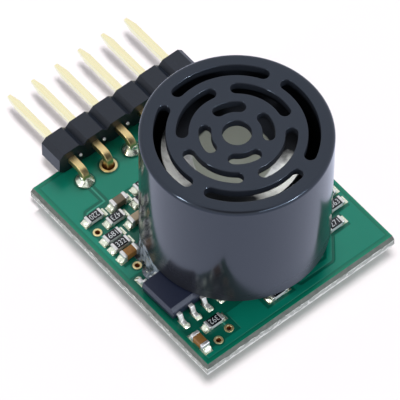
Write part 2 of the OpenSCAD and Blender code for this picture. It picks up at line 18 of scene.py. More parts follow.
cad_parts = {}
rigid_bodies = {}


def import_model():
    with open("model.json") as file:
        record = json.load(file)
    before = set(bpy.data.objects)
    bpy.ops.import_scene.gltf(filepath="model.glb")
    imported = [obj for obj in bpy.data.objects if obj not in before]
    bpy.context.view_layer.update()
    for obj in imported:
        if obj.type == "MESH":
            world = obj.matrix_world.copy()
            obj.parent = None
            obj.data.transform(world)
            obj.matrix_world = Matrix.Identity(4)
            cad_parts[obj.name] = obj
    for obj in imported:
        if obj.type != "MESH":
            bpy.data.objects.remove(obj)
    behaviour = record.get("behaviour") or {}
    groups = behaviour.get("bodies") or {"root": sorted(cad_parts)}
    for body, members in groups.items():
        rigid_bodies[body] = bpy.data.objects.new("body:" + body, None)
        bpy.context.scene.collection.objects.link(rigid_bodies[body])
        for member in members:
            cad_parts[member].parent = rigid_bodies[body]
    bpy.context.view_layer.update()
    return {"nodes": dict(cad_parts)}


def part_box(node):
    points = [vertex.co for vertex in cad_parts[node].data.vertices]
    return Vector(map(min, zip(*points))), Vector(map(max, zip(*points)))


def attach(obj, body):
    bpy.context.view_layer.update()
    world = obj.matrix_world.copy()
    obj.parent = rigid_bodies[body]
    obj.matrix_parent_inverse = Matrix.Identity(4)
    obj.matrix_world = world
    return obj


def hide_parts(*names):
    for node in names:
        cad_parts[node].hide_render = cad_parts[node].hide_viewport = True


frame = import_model()
nodes = frame["nodes"]
print("nodes in the frame:", len(nodes))

# %% [markdown]
# ## Measures
#
# Everything is in metres, but the part is small enough that millimetres read
# better, so lengths are written as a number times MM. Places are read from the
# frame's own boxes, which keeps every new piece on the solid that carries it.
# The board's box takes in the torn web that stands out of its scored edges, so
# the laminate's own faces lie a little further in.

# %% Units and landmarks
MM = 0.001
scene = bpy.context.scene
board_lo, board_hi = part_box("circuit_board")
case_lo, case_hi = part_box("transducer_case")
strip_lo, strip_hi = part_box("strip_block")
case_axis = Vector(((case_lo.x + case_hi.x) / 2, (case_lo.y + case_hi.y) / 2, 0))
web_out, score_depth = 0.134 * MM, 0.5 * MM
board_left, board_right = board_lo.x + web_out, board_hi.x - web_out
board_front, board_back = board_lo.y + web_out, board_hi.y - web_out
board_top, board_under = board_hi.z, board_lo.z
web_low, web_high = board_under + score_depth, board_top - score_depth
print("board", [round(v / MM, 2) for v in (board_left, board_front, board_right, board_back)])

# %% [markdown]
# ## Camera
#
# The photograph was taken from the front left, looking down rather steeply,
# with a long lens: parallel edges stay almost parallel. A camera made from an
# azimuth, an elevation, a slight roll and a distance is easy to correct later,
# one number at a time. The focal length is worked out from the picture's width
# of 400 pixels. A first small helper adds any new object to the scene.

# %% Camera at the photograph's angle
def put(name, data):
    """Adds an object with this data to the scene."""
    thing = bpy.data.objects.new(name, data)
    scene.collection.objects.link(thing)
    return thing


view_azimuth = math.radians(40.4)
view_elevation = math.radians(55.21)
view_roll = math.radians(0.69)
view_distance = 418.49 * MM
focal_px = 5057.9
image_px = 400
target = Vector((-1.548, -4.142, 6.5)) * MM

back = Vector((-math.sin(view_azimuth) * math.cos(view_elevation),
               -math.cos(view_azimuth) * math.cos(view_elevation),
               math.sin(view_elevation)))
level = Vector((0, 0, 1)).cross(back).normalized()
right = Matrix.Rotation(view_roll, 3, back) @ level
up = back.cross(right)

camera_data = bpy.data.cameras.new("camera")
camera_data.sensor_width = 36
camera_data.lens = camera_data.sensor_width * focal_px / image_px
camera_data.clip_start = 0.02
camera_data.clip_end = 10
camera = put("camera", camera_data)
camera.matrix_world = Matrix.Translation(target + back * view_distance) @ Matrix(
    (right, up, back)).transposed().to_4x4()
scene.camera = camera
print("lens", round(camera_data.lens), "mm")

# %% [markdown]
# ## Helpers for materials
#
# Colours are read off real surfaces as sRGB hex codes, but shaders add light
# in linear values, so one function turns the one into the other. Two more put a
# node into a tree, set it and wire it up in a single line. The rest start a
# material and turn a real size into a texture's scale.

# %% Colour and node helpers
def colour(code):
    """Linear RGBA of an sRGB hex code."""
    parts = [int(code[i:i + 2], 16) / 255 for i in (0, 2, 4)]
    linear = [p / 12.92 if p <= 0.04045 else ((p + 0.055) / 1.055) ** 2.4 for p in parts]
    return (*linear, 1.0)


def fill(tree, node, sockets):
    """Fills sockets with values, or links them to an output or to a node, which stands for
    the first of its outputs in use."""
    for socket, value in sockets.items():
        if isinstance(value, bpy.types.Node):
            value = next(out for out in value.outputs if out.enabled)
        if isinstance(value, bpy.types.NodeSocket):
            tree.links.new(value, node.inputs[socket])
        else:
            node.inputs[socket].default_value = value


def add(tree, kind, sockets=None, **settings):
    """Adds a node, sets its fields and fills its sockets."""
    node = tree.nodes.new(kind)
    for field, value in settings.items():
        setattr(node, field, value)
    fill(tree, node, sockets or {})
    return node


def start_material(name, base, roughness, metallic=0.0, sockets=None):
    """A material with its plain values set, its tree, its shader and the place of each point."""
    material = bpy.data.materials.new(name)
    material.use_nodes = True
    tree = material.node_tree
    shader = tree.nodes["Principled BSDF"]
    fill(tree, shader, {"Base Color": colour(base), "Roughness": roughness, "Metallic": metallic,
                        **(sockets or {})})
    place = add(tree, "ShaderNodeTexCoord").outputs["Object"]
    return material, tree, shader, place


def per_mm(size_mm):
    """Texture scale that gives a pattern of that size in millimetres."""
    return 1 / (size_mm * MM)


print("pure white is", colour("ffffff"))

# %% [markdown]
# ## Black lacquer on the case
#
# The case is thin aluminium with a smooth black lacquer. A black surface shows
# hardly any colour of its own: what the eye reads is the white room in it,
# weak where it is looked at squarely and strong at grazing angles. So the base
# stays almost black, and the finish is left to a low roughness with a very
# shallow orange peel. Near its foot the wall was handled and is duller. The
# lacquer's own blue cast goes into the specular tint, because hardly any light
# comes back from below it.

# %% Lacquer of the case
def black_lacquer():
    """Smooth black coat: deep where it is looked at squarely, a grey mirror at grazing angles."""
    material, tree, shader, place = start_material("black lacquer", "202126", 0.12, sockets={
        "IOR": 1.55, "Specular Tint": colour("c8ddf6")})
    peel = add(tree, "ShaderNodeTexNoise", {"Vector": place, "Scale": per_mm(0.5), "Detail": 3.0})
    smear = add(tree, "ShaderNodeTexNoise", {"Vector": place, "Scale": per_mm(4.0), "Detail": 2.0})
    height = add(tree, "ShaderNodeSeparateXYZ", {0: place}).outputs["Z"]
    scuffed = add(tree, "ShaderNodeMapRange", {"Value": height, "From Min": case_lo.z + 4 * MM,
                  "From Max": case_lo.z, "To Min": 0.0, "To Max": 0.2})
    gloss = add(tree, "ShaderNodeMapRange", {"Value": smear, "From Min": 0.35,
                "From Max": 0.65, "To Min": 0.1, "To Max": 0.15})
    rough = add(tree, "ShaderNodeMath", {0: gloss, 1: scuffed})
    bump = add(tree, "ShaderNodeBump", {"Height": peel, "Strength": 0.25, "Distance": 0.01 * MM})
    fill(tree, shader, {"Roughness": rough, "Normal": bump})
    return material


lacquer = black_lacquer()
print("made", lacquer.name)

# %% [markdown]
# ## Metals
#
# Gold on the pins and on the bare copper rings, tin on the leads, solder on
# every joint. They differ in colour, in how evenly they were laid down and in
# how rough that left them: plated wire is drawn and has fine streaks along it,
# reflowed solder froze from a liquid and is nearly a mirror, with soft dents.
# Streaks and plated grains are really a few micrometres wide. One pixel covers
# 0.08 mm, so they are drawn as coarse as that or a little more, or they wouldn't
# show.

# %% Gold, tin and solder
def gold_wire():
    """Gold over nickel on drawn square wire, painted pale towards the mating ends as a painted
    highlight and deeper towards the tails as painted shade; the tails are also rougher."""
    material, tree, shader, place = start_material("gold plated wire", "fbf2cf", 0.16, 1.0)
    stretch = add(tree, "ShaderNodeMapping", {"Vector": place, "Scale": (1.0, 0.04, 1.0)})
    marks = add(tree, "ShaderNodeTexNoise", {"Vector": stretch, "Scale": per_mm(0.08), "Detail": 2.0})
    # Painted highlight and painted shade: pale gold towards the mating ends, deeper gold towards the
    # tails.
    pale = add(tree, "ShaderNodeMix", {"Factor": marks, "A": colour("fff0bc"),
               "B": colour("fffbd0")}, data_type="RGBA")
    shaded_gold = add(tree, "ShaderNodeMix", {"Factor": marks, "A": colour("dcba72"),
               "B": colour("fbe6ae")}, data_type="RGBA")
    along = add(tree, "ShaderNodeSeparateXYZ", {0: place}).outputs["Y"]
    mating = add(tree, "ShaderNodeMapRange", {"Value": along, "From Min": strip_lo.y,
                 "From Max": strip_hi.y})
    tone = add(tree, "ShaderNodeMix", {"Factor": mating, "A": shaded_gold, "B": pale}, data_type="RGBA")
    gloss = add(tree, "ShaderNodeMapRange", {"Value": mating, "To Min": 0.36, "To Max": 0.16})
    bump = add(tree, "ShaderNodeBump", {"Height": marks, "Strength": 0.2, "Distance": 0.004 * MM})
    fill(tree, shader, {"Base Color": tone, "Roughness": gloss, "Normal": bump})
    return material


def flash_gold():
    """Thin immersion gold on copper rings: light yellow, slightly grainy. Inside the holes it is
    painted brown and less metallic, as painted shade tinted by light shining through the laminate."""
    material, tree, shader, place = start_material("immersion gold", "f6e3a4", 0.4, 1.0)
    grain = add(tree, "ShaderNodeTexNoise", {"Vector": place, "Scale": per_mm(0.12), "Detail": 3.0})
    ring = add(tree, "ShaderNodeMix", {"Factor": grain, "A": colour("ecca74"),
               "B": colour("fff6cc")}, data_type="RGBA")
    height = add(tree, "ShaderNodeSeparateXYZ", {0: place}).outputs["Z"]
    inside = add(tree, "ShaderNodeMapRange", {"Value": height, "From Min": board_top + 0.02 * MM,
                 "From Max": board_top - 0.03 * MM})
    under = add(tree, "ShaderNodeMath", {0: height, 1: board_under}, operation="GREATER_THAN")
    shaded_barrel = add(tree, "ShaderNodeMath", {0: inside, 1: under}, operation="MULTIPLY")
    # Painted shade in the holes: brown and less metallic, as if lit through the laminate.
    tone = add(tree, "ShaderNodeMix", {"Factor": shaded_barrel, "A": ring,
               "B": colour("a8601c")}, data_type="RGBA")
    metal = add(tree, "ShaderNodeMapRange", {"Value": shaded_barrel, "To Min": 1.0, "To Max": 0.15})
    bump = add(tree, "ShaderNodeBump", {"Height": grain, "Strength": 0.15, "Distance": 0.01 * MM})
    fill(tree, shader, {"Base Color": tone, "Metallic": metal, "Normal": bump})
    return material


def reflowed_solder():
    """Tin alloy frozen from the melt: bright, with shallow dents and duller patches."""
    material, tree, shader, place = start_material("reflowed solder", "e8ecd6", 0.26, 0.85)
    dents = add(tree, "ShaderNodeTexNoise", {"Vector": place, "Scale": per_mm(0.35), "Detail": 2.0})
    frost = add(tree, "ShaderNodeMapRange", {"Value": dents, "From Min": 0.4,
                "From Max": 0.7, "To Min": 0.18, "To Max": 0.42})
    bump = add(tree, "ShaderNodeBump", {"Height": dents, "Strength": 0.5, "Distance": 0.05 * MM})
    fill(tree, shader, {"Roughness": frost, "Normal": bump})
    return material


def matte_tin():
    """Electroplated tin on leads and chip ends: silky, fine grained."""
    material, tree, shader, place = start_material("plated tin", "e6e4e0", 0.3, 0.7)
    grain = add(tree, "ShaderNodeTexNoise", {"Vector": place, "Scale": per_mm(0.1), "Detail": 4.0})
    bump = add(tree, "ShaderNodeBump", {"Height": grain, "Strength": 0.35, "Distance": 0.01 * MM})
    fill(tree, shader, {"Normal": bump})
    return material


pin_gold, ring_gold, solder, tin = gold_wire(), flash_gold(), reflowed_solder(), matte_tin()
print("made", [m.name for m in (pin_gold, ring_gold, solder, tin)])

# %% [markdown]
# ## Moulded and fired materials
#
# The strip is moulded glass-filled nylon, the chips are moulded epoxy with a
# fine spark-eroded texture, the resistors are white alumina with a black glass
# coat, the capacitors are fired brown ceramic. All of them are dielectrics, so
# their gloss has no colour. What sets them apart is the grain of the surface. It
# is really some hundredths of a millimetre at most, so like the plated grains it
# is drawn about as coarse as a pixel or more, which lets it break up the gloss.

# %% Plastics and ceramics
def grained(name, dark, light, roughness, grain_mm, depth_mm, sockets=None):
    """A dielectric whose colour and height follow one fine grain."""
    material, tree, shader, place = start_material(name, dark, roughness, sockets=sockets)
    grain = add(tree, "ShaderNodeTexNoise", {"Vector": place, "Scale": per_mm(grain_mm), "Detail": 3.0})
    tone = add(tree, "ShaderNodeMix", {"Factor": grain, "A": colour(dark),
               "B": colour(light)}, data_type="RGBA")
    bump = add(tree, "ShaderNodeBump", {"Height": grain, "Strength": 0.4, "Distance": depth_mm * MM})
    fill(tree, shader, {"Base Color": tone, "Normal": bump})
    return material


# Glass fibres at the surface leave the nylon matt, with a blue-grey cast.
strip_nylon = grained("moulded black nylon", "10161f", "1b2330", 0.42, 0.15, 0.012)
# Pure white, glossy nylon for the painted glints on the strip's pips.
glint_white_nylon = grained("white nylon for painted glints", "f0f2f4", "ffffff", 0.15, 0.1, 0.003,
                         {"IOR": 2.4})
# A spark-eroded mould gives the chips an even bloom, just off black.
chip_epoxy = grained("moulded epoxy", "161b29", "222840", 0.38, 0.06, 0.008)
# Fired alumina is dense and chalky white, its glass coat a small black mirror.
alumina = grained("white alumina", "d8dcda", "f2f4f0", 0.45, 0.1, 0.006)
glass_coat = grained("black glass coat", "06080f", "0c0f18", 0.2, 0.3, 0.01)
marking_ink = grained("white marking ink", "e4e8ea", "f8fafa", 0.5, 0.05, 0.003)
# Capacitor ceramics differ in colour with their mix, and all have a dull tumbled skin.
brown_ceramic = grained("brown capacitor ceramic", "7a4f20", "ad7a3c", 0.4, 0.2, 0.01)
tan_ceramic = grained("tan capacitor ceramic", "9c8a72", "b8a78c", 0.4, 0.2, 0.01)
grey_ceramic = grained("grey capacitor ceramic", "665b4a", "80735d", 0.4, 0.2, 0.01)
# Inside the transducer: a plain moulding, a milky soft ring and a dull silver electrode.
base_plastic = grained("moulded base plastic", "1c1c1a", "282826", 0.5, 0.2, 0.01)
silicone = grained("translucent silicone", "c4c2b8", "dcdad0", 0.55, 0.4, 0.01)
silvered_ceramic = grained("silvered piezo ceramic", "8a867a", "a8a496", 0.5, 0.15, 0.006)
# Where the lacquer didn't reach, a thin undercoat drinks nearly all the light.
bare_black = grained("thin black undercoat", "12161d", "1b202a", 0.7, 0.2, 0.01,
                     {"Specular IOR Level": 0.2})
print("made thirteen grained materials")

# %% [markdown]
# ## The pressed dish
#
# Under the slots sits a shallow dish of bright aluminium sheet, glued by its
# flat floor to the plate that vibrates. The floor is dull from the glue and the
# press. The sloping wall is painted dark, as painted shade, with painted
# highlights on its two flanks.

# %% Dish aluminium
dish_lo, dish_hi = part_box("resonator_dish")
dish_floor_r = 3.3 * MM
dish_axis = case_axis + Vector((-0.23, 0.19, 0)) * MM
# Directions of the two flanks that carry painted highlights.
highlit_flanks = [Vector((-0.948, 0.318, 0)), Vector((0.283, -0.959, 0))]


def pressed_aluminium():
    """Drawn sheet: dull where glued, glossier on its wall, painted dark as shade with painted highlights
    on two flanks.
    """
    material, tree, shader, place = start_material("pressed aluminium", "c9cac4", 0.4, 1.0)
    centred = add(tree, "ShaderNodeMapping", {"Vector": place,
                  "Location": (-dish_axis.x, -dish_axis.y, 0), "Scale": (1, 1, 0)})
    radius = add(tree, "ShaderNodeVectorMath", {0: centred}, operation="LENGTH")
    slope = add(tree, "ShaderNodeMapRange", {"Value": radius, "From Min": dish_floor_r - 0.05 * MM,
                "From Max": dish_floor_r + 0.1 * MM, "To Min": 0.0, "To Max": 1.0})
    way = add(tree, "ShaderNodeVectorMath", {0: centred}, operation="NORMALIZE")
    streaks = add(tree, "ShaderNodeTexNoise", {"Vector": place, "Scale": per_mm(0.7), "Detail": 3.0})
    ragged = add(tree, "ShaderNodeMapRange", {"Value": streaks, "To Min": -0.12, "To Max": 0.12})
    near = [add(tree, "ShaderNodeVectorMath", {0: way, 1: flank},
                operation="DOT_PRODUCT") for flank in highlit_flanks]
    nearest = add(tree, "ShaderNodeMath", {0: near[0], 1: near[1]}, operation="MAXIMUM")
    uneven = add(tree, "ShaderNodeMath", {0: nearest, 1: ragged})
    flank_highlight = add(tree, "ShaderNodeMapRange", {"Value": uneven, "From Min": 0.8, "From Max": 0.98})
    # Painted shade on the sloping wall, with ragged painted highlights on the flanks.
    wall = add(tree, "ShaderNodeMix", {"Factor": flank_highlight, "A": colour("24262a"),
               "B": colour("f4f5f2")}, data_type="RGBA")
    tone = add(tree, "ShaderNodeMix", {"Factor": slope, "A": colour("a3a79c"),
               "B": wall}, data_type="RGBA")
    gloss = add(tree, "ShaderNodeMapRange", {"Value": slope, "To Min": 0.6, "To Max": 0.3})
    drawn = add(tree, "ShaderNodeTexNoise", {"Vector": place, "Scale": per_mm(1.1), "Detail": 2.0})
    bump = add(tree, "ShaderNodeBump", {"Height": drawn, "Strength": 0.3, "Distance": 0.04 * MM})
    fill(tree, shader, {"Base Color": tone, "Roughness": gloss, "Normal": bump})
    return material


aluminium = pressed_aluminium()
print("dish from", round(dish_lo.z / MM, 2), "to", round(dish_hi.z / MM, 2))

# %% [markdown]
# ## Green mask over copper
#
# The mask is a thin green lacquer. Over copper it looks lighter, over the bare
# laminate it is darker, but near the board's edge light seeps in from the side
# and makes it glow. Along every copper edge the lacquer dips, which draws the
# tracks as fine lines. The copper is described by distances: each point asks
# how far it is from the nearest track, ring or window, and the answers decide
# both the colour and the height.

# %% Copper layout in millimetres
fine_track, broad_track, track_gap = 0.15, 0.45, 0.27
ways = range(1, 7)
pin_xs = [sum(corner.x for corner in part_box(f"pin_{way}")) / 2 / MM for way in ways]
pin_y = 5.292
# Fine tracks and one broad one, each as a chain of points.
tracks = [
    [(-6.24, 4.4), (-6.24, 2.64), (-8.1, 2.6), (-8.6, 2.1)],
    [(-8.7, 0.54), (-8.7, -0.66)],
    [(-8.25, -4.11), (-7.3, -3.75)],
    [(-6.4, -13.71), (-6.4, -12.9)],
    [(-7.25, 0.6), (-7.25, -1.7)],
    [(-4.6, 1.7), (-3.8, 1.7)],
]
bus = [(5.9, -11.95), (4.4, -13.75), (1.2, -13.75)]
# Windows in the copper, each as its left, front, right and back side.
windows = [
    (-9.15, -3.6, -2.5, 2.4), (-9.6, -12.4, -3.4, -4.75), (-9.3, -14.3, -5.6, -11.8),
    (5.6, -12.2, 8.1, -7.6), (7.0, -10.7, 9.3, -7.6), (-2.7, -14.3, 0.3, -13.0),
]
vias = [(-8.7, 0.54), (-8.25, -4.11), (-7.8, -14.06), (-6.4, -13.71)]
# The copper keeps this far from pins, small holes, the broad track and the board's edges.
ring_clear, via_clear, bus_clear, pour_inset = 0.94, 0.56, 0.5, 0.42
print(len(tracks), "fine tracks,", len(windows), "windows")

# %% Distance fields for the copper
def nearest_of(tree, distances):
    """The smallest of several distances."""
    nearest = distances[0]
    for other in distances[1:]:
        nearest = add(tree, "ShaderNodeMath", {0: nearest, 1: other}, operation="MINIMUM")
    return nearest


def distance_to_track(tree, place, points):
    """Distance in metres from each point to a chain of straight runs."""
    gaps = []
    for start, end in zip(points, points[1:]):
        a, run = Vector((*start, 0)) * MM, Vector((end[0] - start[0], end[1] - start[1], 0)) * MM
        from_a = add(tree, "ShaderNodeVectorMath", {0: place, 1: a}, operation="SUBTRACT")
        along = add(tree, "ShaderNodeVectorMath", {0: from_a, 1: run / run.length_squared},
                    operation="DOT_PRODUCT")
        share = add(tree, "ShaderNodeClamp", {"Value": along})
        foot = add(tree, "ShaderNodeVectorMath", {0: run, "Scale": share}, operation="SCALE")
        gaps.append(add(tree, "ShaderNodeVectorMath", {0: from_a, 1: foot}, operation="DISTANCE"))
    return nearest_of(tree, gaps)


def distance_to_spots(tree, place, spots):
    """Distance in metres to the nearest of several spots, each taken as a very short run."""
    return nearest_of(tree, [distance_to_track(tree, place, [(x, y), (x, y + 0.01)])
                             for x, y in spots])


def distance_to_window(tree, place, window):
    """Distance in metres outside a rectangle, and below zero inside it."""
    x0, y0, x1, y1 = window
    middle = Vector(((x0 + x1) / 2, (y0 + y1) / 2, 0)) * MM
    half = Vector(((x1 - x0) / 2, (y1 - y0) / 2, 1)) * MM
    offset = add(tree, "ShaderNodeVectorMath", {0: place, 1: middle}, operation="SUBTRACT")
    size = add(tree, "ShaderNodeVectorMath", {0: offset}, operation="ABSOLUTE")
    over = add(tree, "ShaderNodeVectorMath", {0: size, 1: half}, operation="SUBTRACT")
    axes = add(tree, "ShaderNodeSeparateXYZ", {0: over})
    return add(tree, "ShaderNodeMath", {0: axes.outputs["X"], 1: axes.outputs["Y"]},
               operation="MAXIMUM")


print("distance helpers ready")

# %% Copper as one mask from 0 to 1
def copper_mask(tree, flat):
    """Where the copper is, where fine tracks are, and the way out from the pour's edge."""
    fine = nearest_of(tree, [distance_to_track(tree, flat, run) for run in tracks])
    broad = distance_to_track(tree, flat, bus)
    rings = distance_to_spots(tree, flat, [(x, pin_y) for x in pin_xs])
    holes = distance_to_spots(tree, flat, vias)
    fine_metal, broad_metal, *kept_clear = [
        add(tree, "ShaderNodeMath", {0: gap, 1: reach * MM}, operation="SUBTRACT")
        for gap, reach in ((fine, fine_track / 2), (broad, broad_track / 2),
                           (fine, fine_track / 2 + track_gap), (broad, bus_clear),
                           (rings, ring_clear), (holes, via_clear))]
    cleared = nearest_of(tree, [*kept_clear, *[distance_to_window(tree, flat, window)
                                               for window in windows]])
    outside = distance_to_window(tree, flat, (
        board_left / MM + pour_inset, board_front / MM + pour_inset,
        board_right / MM - pour_inset, board_back / MM - pour_inset))
    within, metal = [add(tree, "ShaderNodeMath", {0: gap, 1: -1.0}, operation="MULTIPLY")
                     for gap in (outside, nearest_of(tree, [fine_metal, broad_metal]))]
    filled = nearest_of(tree, [cleared, within])
    inside = add(tree, "ShaderNodeMath", {0: filled, 1: metal}, operation="MAXIMUM")
    soft = 0.04 * MM
    copper = add(tree, "ShaderNodeMapRange", {"Value": inside, "From Min": -soft, "From Max": soft},
                 interpolation_type="SMOOTHSTEP")
    # Band of the fine tracks, which the mask paints lighter as a painted highlight.
    thin = add(tree, "ShaderNodeMapRange", {"Value": fine, "From Min": fine_track * 0.8 * MM,
               "From Max": fine_track * 0.4 * MM})
    return copper, thin, outside


print("copper mask ready")

# %% [markdown]
# ## The board's faces and edges
#
# The panel was scored from both faces and then snapped, so each edge has two
# sloping cuts with a torn web between them. One material serves the whole
# board: it is green on the two faces, and the cuts, which it tells by their
# height, show the grey of resin and glass. The web is a piece of its own.

# %% Board material: mask, copper and laminate
def masked_laminate():
    """Glossy green lacquer on the faces, and dull sawn-looking resin and glass at the cuts."""
    material, tree, shader, place = start_material("green mask on laminate", "0c866d", 0.2,
                                                   sockets={"IOR": 1.38})
    flat = add(tree, "ShaderNodeVectorMath", {0: place, 1: (1, 1, 0)}, operation="MULTIPLY")
    copper, thin, outside = copper_mask(tree, flat)

    drift = add(tree, "ShaderNodeTexNoise", {"Vector": place, "Scale": per_mm(5.0), "Detail": 2.0})
    over_copper = add(tree, "ShaderNodeMix", {"Factor": drift, "A": colour("08826a"),
                      "B": colour("118b72")}, data_type="RGBA")
    # Fine tracks are painted lighter, as a painted highlight along their raised edges.
    over_copper = add(tree, "ShaderNodeMix", {"Factor": thin, "A": over_copper,
                      "B": colour("3f9f87")}, data_type="RGBA")
    seep = add(tree, "ShaderNodeMapRange", {"Value": outside, "From Min": -0.1 * MM,
               "From Max": 0.4 * MM})
    bare = add(tree, "ShaderNodeMix", {"Factor": seep, "A": colour("086652"),
               "B": colour("0c8a6a")}, data_type="RGBA")
    green = add(tree, "ShaderNodeMix", {"Factor": copper, "A": bare, "B": over_copper},
                data_type="RGBA")

    height = add(tree, "ShaderNodeSeparateXYZ", {0: place}).outputs["Z"]
    top = add(tree, "ShaderNodeMath", {0: height, 1: board_top - 0.01 * MM}, operation="GREATER_THAN")
    under = add(tree, "ShaderNodeMath", {0: height, 1: board_under + 0.01 * MM}, operation="LESS_THAN")
    faces = add(tree, "ShaderNodeMath", {0: top, 1: under}, operation="MAXIMUM")
    # The glass is woven from bundles about 0.4 mm wide, which show as patches at the cuts.
    fibres = add(tree, "ShaderNodeTexNoise", {"Vector": place, "Scale": per_mm(0.4), "Detail": 6.0,
                 "Roughness": 0.7})
    cuts = add(tree, "ShaderNodeMix", {"Factor": fibres, "A": colour("363e38"),
               "B": colour("8c9288")}, data_type="RGBA")
    # The lower cuts face the pale ground and are painted paler than the upper ones, as painted light from
    # the ground.
    low = add(tree, "ShaderNodeMapRange", {"Value": height, "From Min": 2.5 * MM, "From Max": 2.3 * MM})
    laminate = add(tree, "ShaderNodeMix", {"Factor": low, "A": cuts, "B": colour("e0e2de")},
                   data_type="RGBA")
    paint = add(tree, "ShaderNodeMix", {"Factor": faces, "A": laminate, "B": green}, data_type="RGBA")
    gloss = add(tree, "ShaderNodeMapRange", {"Value": faces, "To Min": 0.6, "To Max": 0.2})

    relief = add(tree, "ShaderNodeMath", {0: copper, 1: faces}, operation="MULTIPLY")
    raised = add(tree, "ShaderNodeBump", {"Height": relief, "Strength": 1.0, "Distance": 0.02 * MM})
    edges_only = add(tree, "ShaderNodeMapRange", {"Value": faces, "To Min": 0.4, "To Max": 0.03})
    rough = add(tree, "ShaderNodeBump", {"Height": fibres, "Strength": edges_only,
                "Distance": 0.05 * MM, "Normal": raised})
    fill(tree, shader, {"Base Color": paint, "Roughness": gloss, "Normal": rough})
    return material


mask = masked_laminate()
print("mask tree has", len(mask.node_tree.nodes), "nodes")

# %% [markdown]
# ## From a mesh to a piece
#
# Each piece ends the same way: its normals face outwards, it is shaded smooth
# but for its sharp edges, it rides on the part's one body and the solid whose
# place it takes is hidden. A weighted normal keeps the large flats flat where
# a small bevel runs along them.

# %% Finish a piece
def mesh_of(bm, name):
    """Turns a bmesh into a mesh and frees it."""
    mesh = bpy.data.meshes.new(name)
    bm.to_mesh(mesh)
    bm.free()
    return mesh


def settle(name, bm, materials, replaced=(), sharp=38):
    """Turns a bmesh into a piece that rides on the part and hides the solids it replaces."""
    bmesh.ops.recalc_face_normals(bm, faces=bm.faces)
    mesh = mesh_of(bm, name)
    mesh.shade_smooth()
    mesh.set_sharp_from_angle(angle=math.radians(sharp))
    for material in materials:
        mesh.materials.append(material)
    piece = put(name, mesh)
    flats = piece.modifiers.new("flat faces stay flat", "WEIGHTED_NORMAL")
    flats.keep_sharp = True
    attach(piece, "root")
    if replaced:
        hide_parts(*replaced)
    print(f"{name}: {len(mesh.polygons)} faces")
    return piece


def dress(material, *names):
    """Changes the material of the frame's own nodes."""
    for name in names:
        for slot in nodes[name].material_slots:
            slot.material = material
    print(f"{material.name} on {', '.join(names)}")


print("settle and dress ready")

# %% [markdown]
# ## Soft edges on ready-made solids
#
# A real edge is never perfectly sharp, and its thin highlight is half of what
# makes an object look real. The frame's meshes are loose triangles, so a copy is
# merged, its flat faces are joined again and the remaining edges are bevelled.

# %% Merged copy with bevelled edges
# Points that lie closer together than this, in metres, are taken for one.
weld = 1e-7


def merged(name):
    """A bmesh of a node's mesh, with doubles merged and flats joined."""
    bm = bmesh.new()
    bm.from_mesh(nodes[name].data)
    bmesh.ops.remove_doubles(bm, verts=bm.verts, dist=weld)
    bmesh.ops.dissolve_limit(bm, angle_limit=math.radians(1), verts=bm.verts, edges=bm.edges)
    for face in bm.faces:
        face.material_index = 0
    return bm


def soften(bm, width_mm, segments=2, corner=30):
    """Bevels each edge whose faces meet at more than the corner angle."""
    edges = [edge for edge in bm.edges if edge.is_manifold
             and edge.calc_face_angle(0) > math.radians(corner)]
    bmesh.ops.bevel(bm, geom=edges, offset=width_mm * MM, offset_type="OFFSET", segments=segments,
                    profile=0.5, affect="EDGES", clamp_overlap=True, material=-1)
    return bm


print("merged and soften ready")

# %% Pin strip with softened edges
settle("header_strip", soften(merged("strip_block"), 0.05), [strip_nylon], ["strip_block"])

# %% [markdown]
# ### Painted glints
#
# A small white ball is sunk into the tip of each pip beside each pin. It is a
# painted glint: white, glossy nylon that stands in for a highlight.

# %% Painted glints on the strip's pips
glint_r, pip_right_mm = 0.16 * MM, 0.86
marks = bmesh.new()
for x_mm in pin_xs:
    spot = Vector(((x_mm + pip_right_mm) * MM, strip_lo.y, (strip_lo.z + strip_hi.z) / 2))
    bmesh.ops.create_uvsphere(marks, u_segments=16, v_segments=10, radius=glint_r,
                              matrix=Matrix.Translation(spot))
settle("pip_glints", marks, [glint_white_nylon])

# %% [markdown]
# ### Plating and leads
#
# Plated rings and leads are thin metal with crisper edges than the moulded
# strip. They get a smaller bevel, just enough for a bright line along each edge.

# %% Plating and leads with softened edges
settle("hole_plating", soften(merged("plated_holes"), 0.015, 1), [ring_gold], ["plated_holes"])
gull_leads = settle("amplifier_gull_leads", soften(merged("amplifier_leads"), 0.035, 2, 20), [tin],
                    ["amplifier_leads"])
settle("controller_gull_leads", soften(merged("controller_leads"), 0.02, 1, 20), [tin],
       ["controller_leads"])

# %% [markdown]
# ### Solids that keep their own mesh
#
# What is flat, hidden or seen only through a slot needs no new form. These
# nodes get a new material and nothing else.

# %% Materials for the frame's own nodes
dress(mask, "circuit_board")
dress(solder, "chip_pads")
dress(tin, "terminal_front", "terminal_back")
dress(base_plastic, "transducer_base")
dress(silicone, "support_ring")
dress(aluminium, "metal_plate")
dress(silvered_ceramic, "piezo_disc")
dress(ring_gold, "lead_wire_front", "lead_wire_back")

# %% [markdown]
# ## The torn web
#
# Where the panel was snapped, torn glass fibres stand out of the resin as a
# pale ragged strip round the board. A fine grid is laid along each edge, its
# points are pushed out by noise, and it is given a thickness into the board.

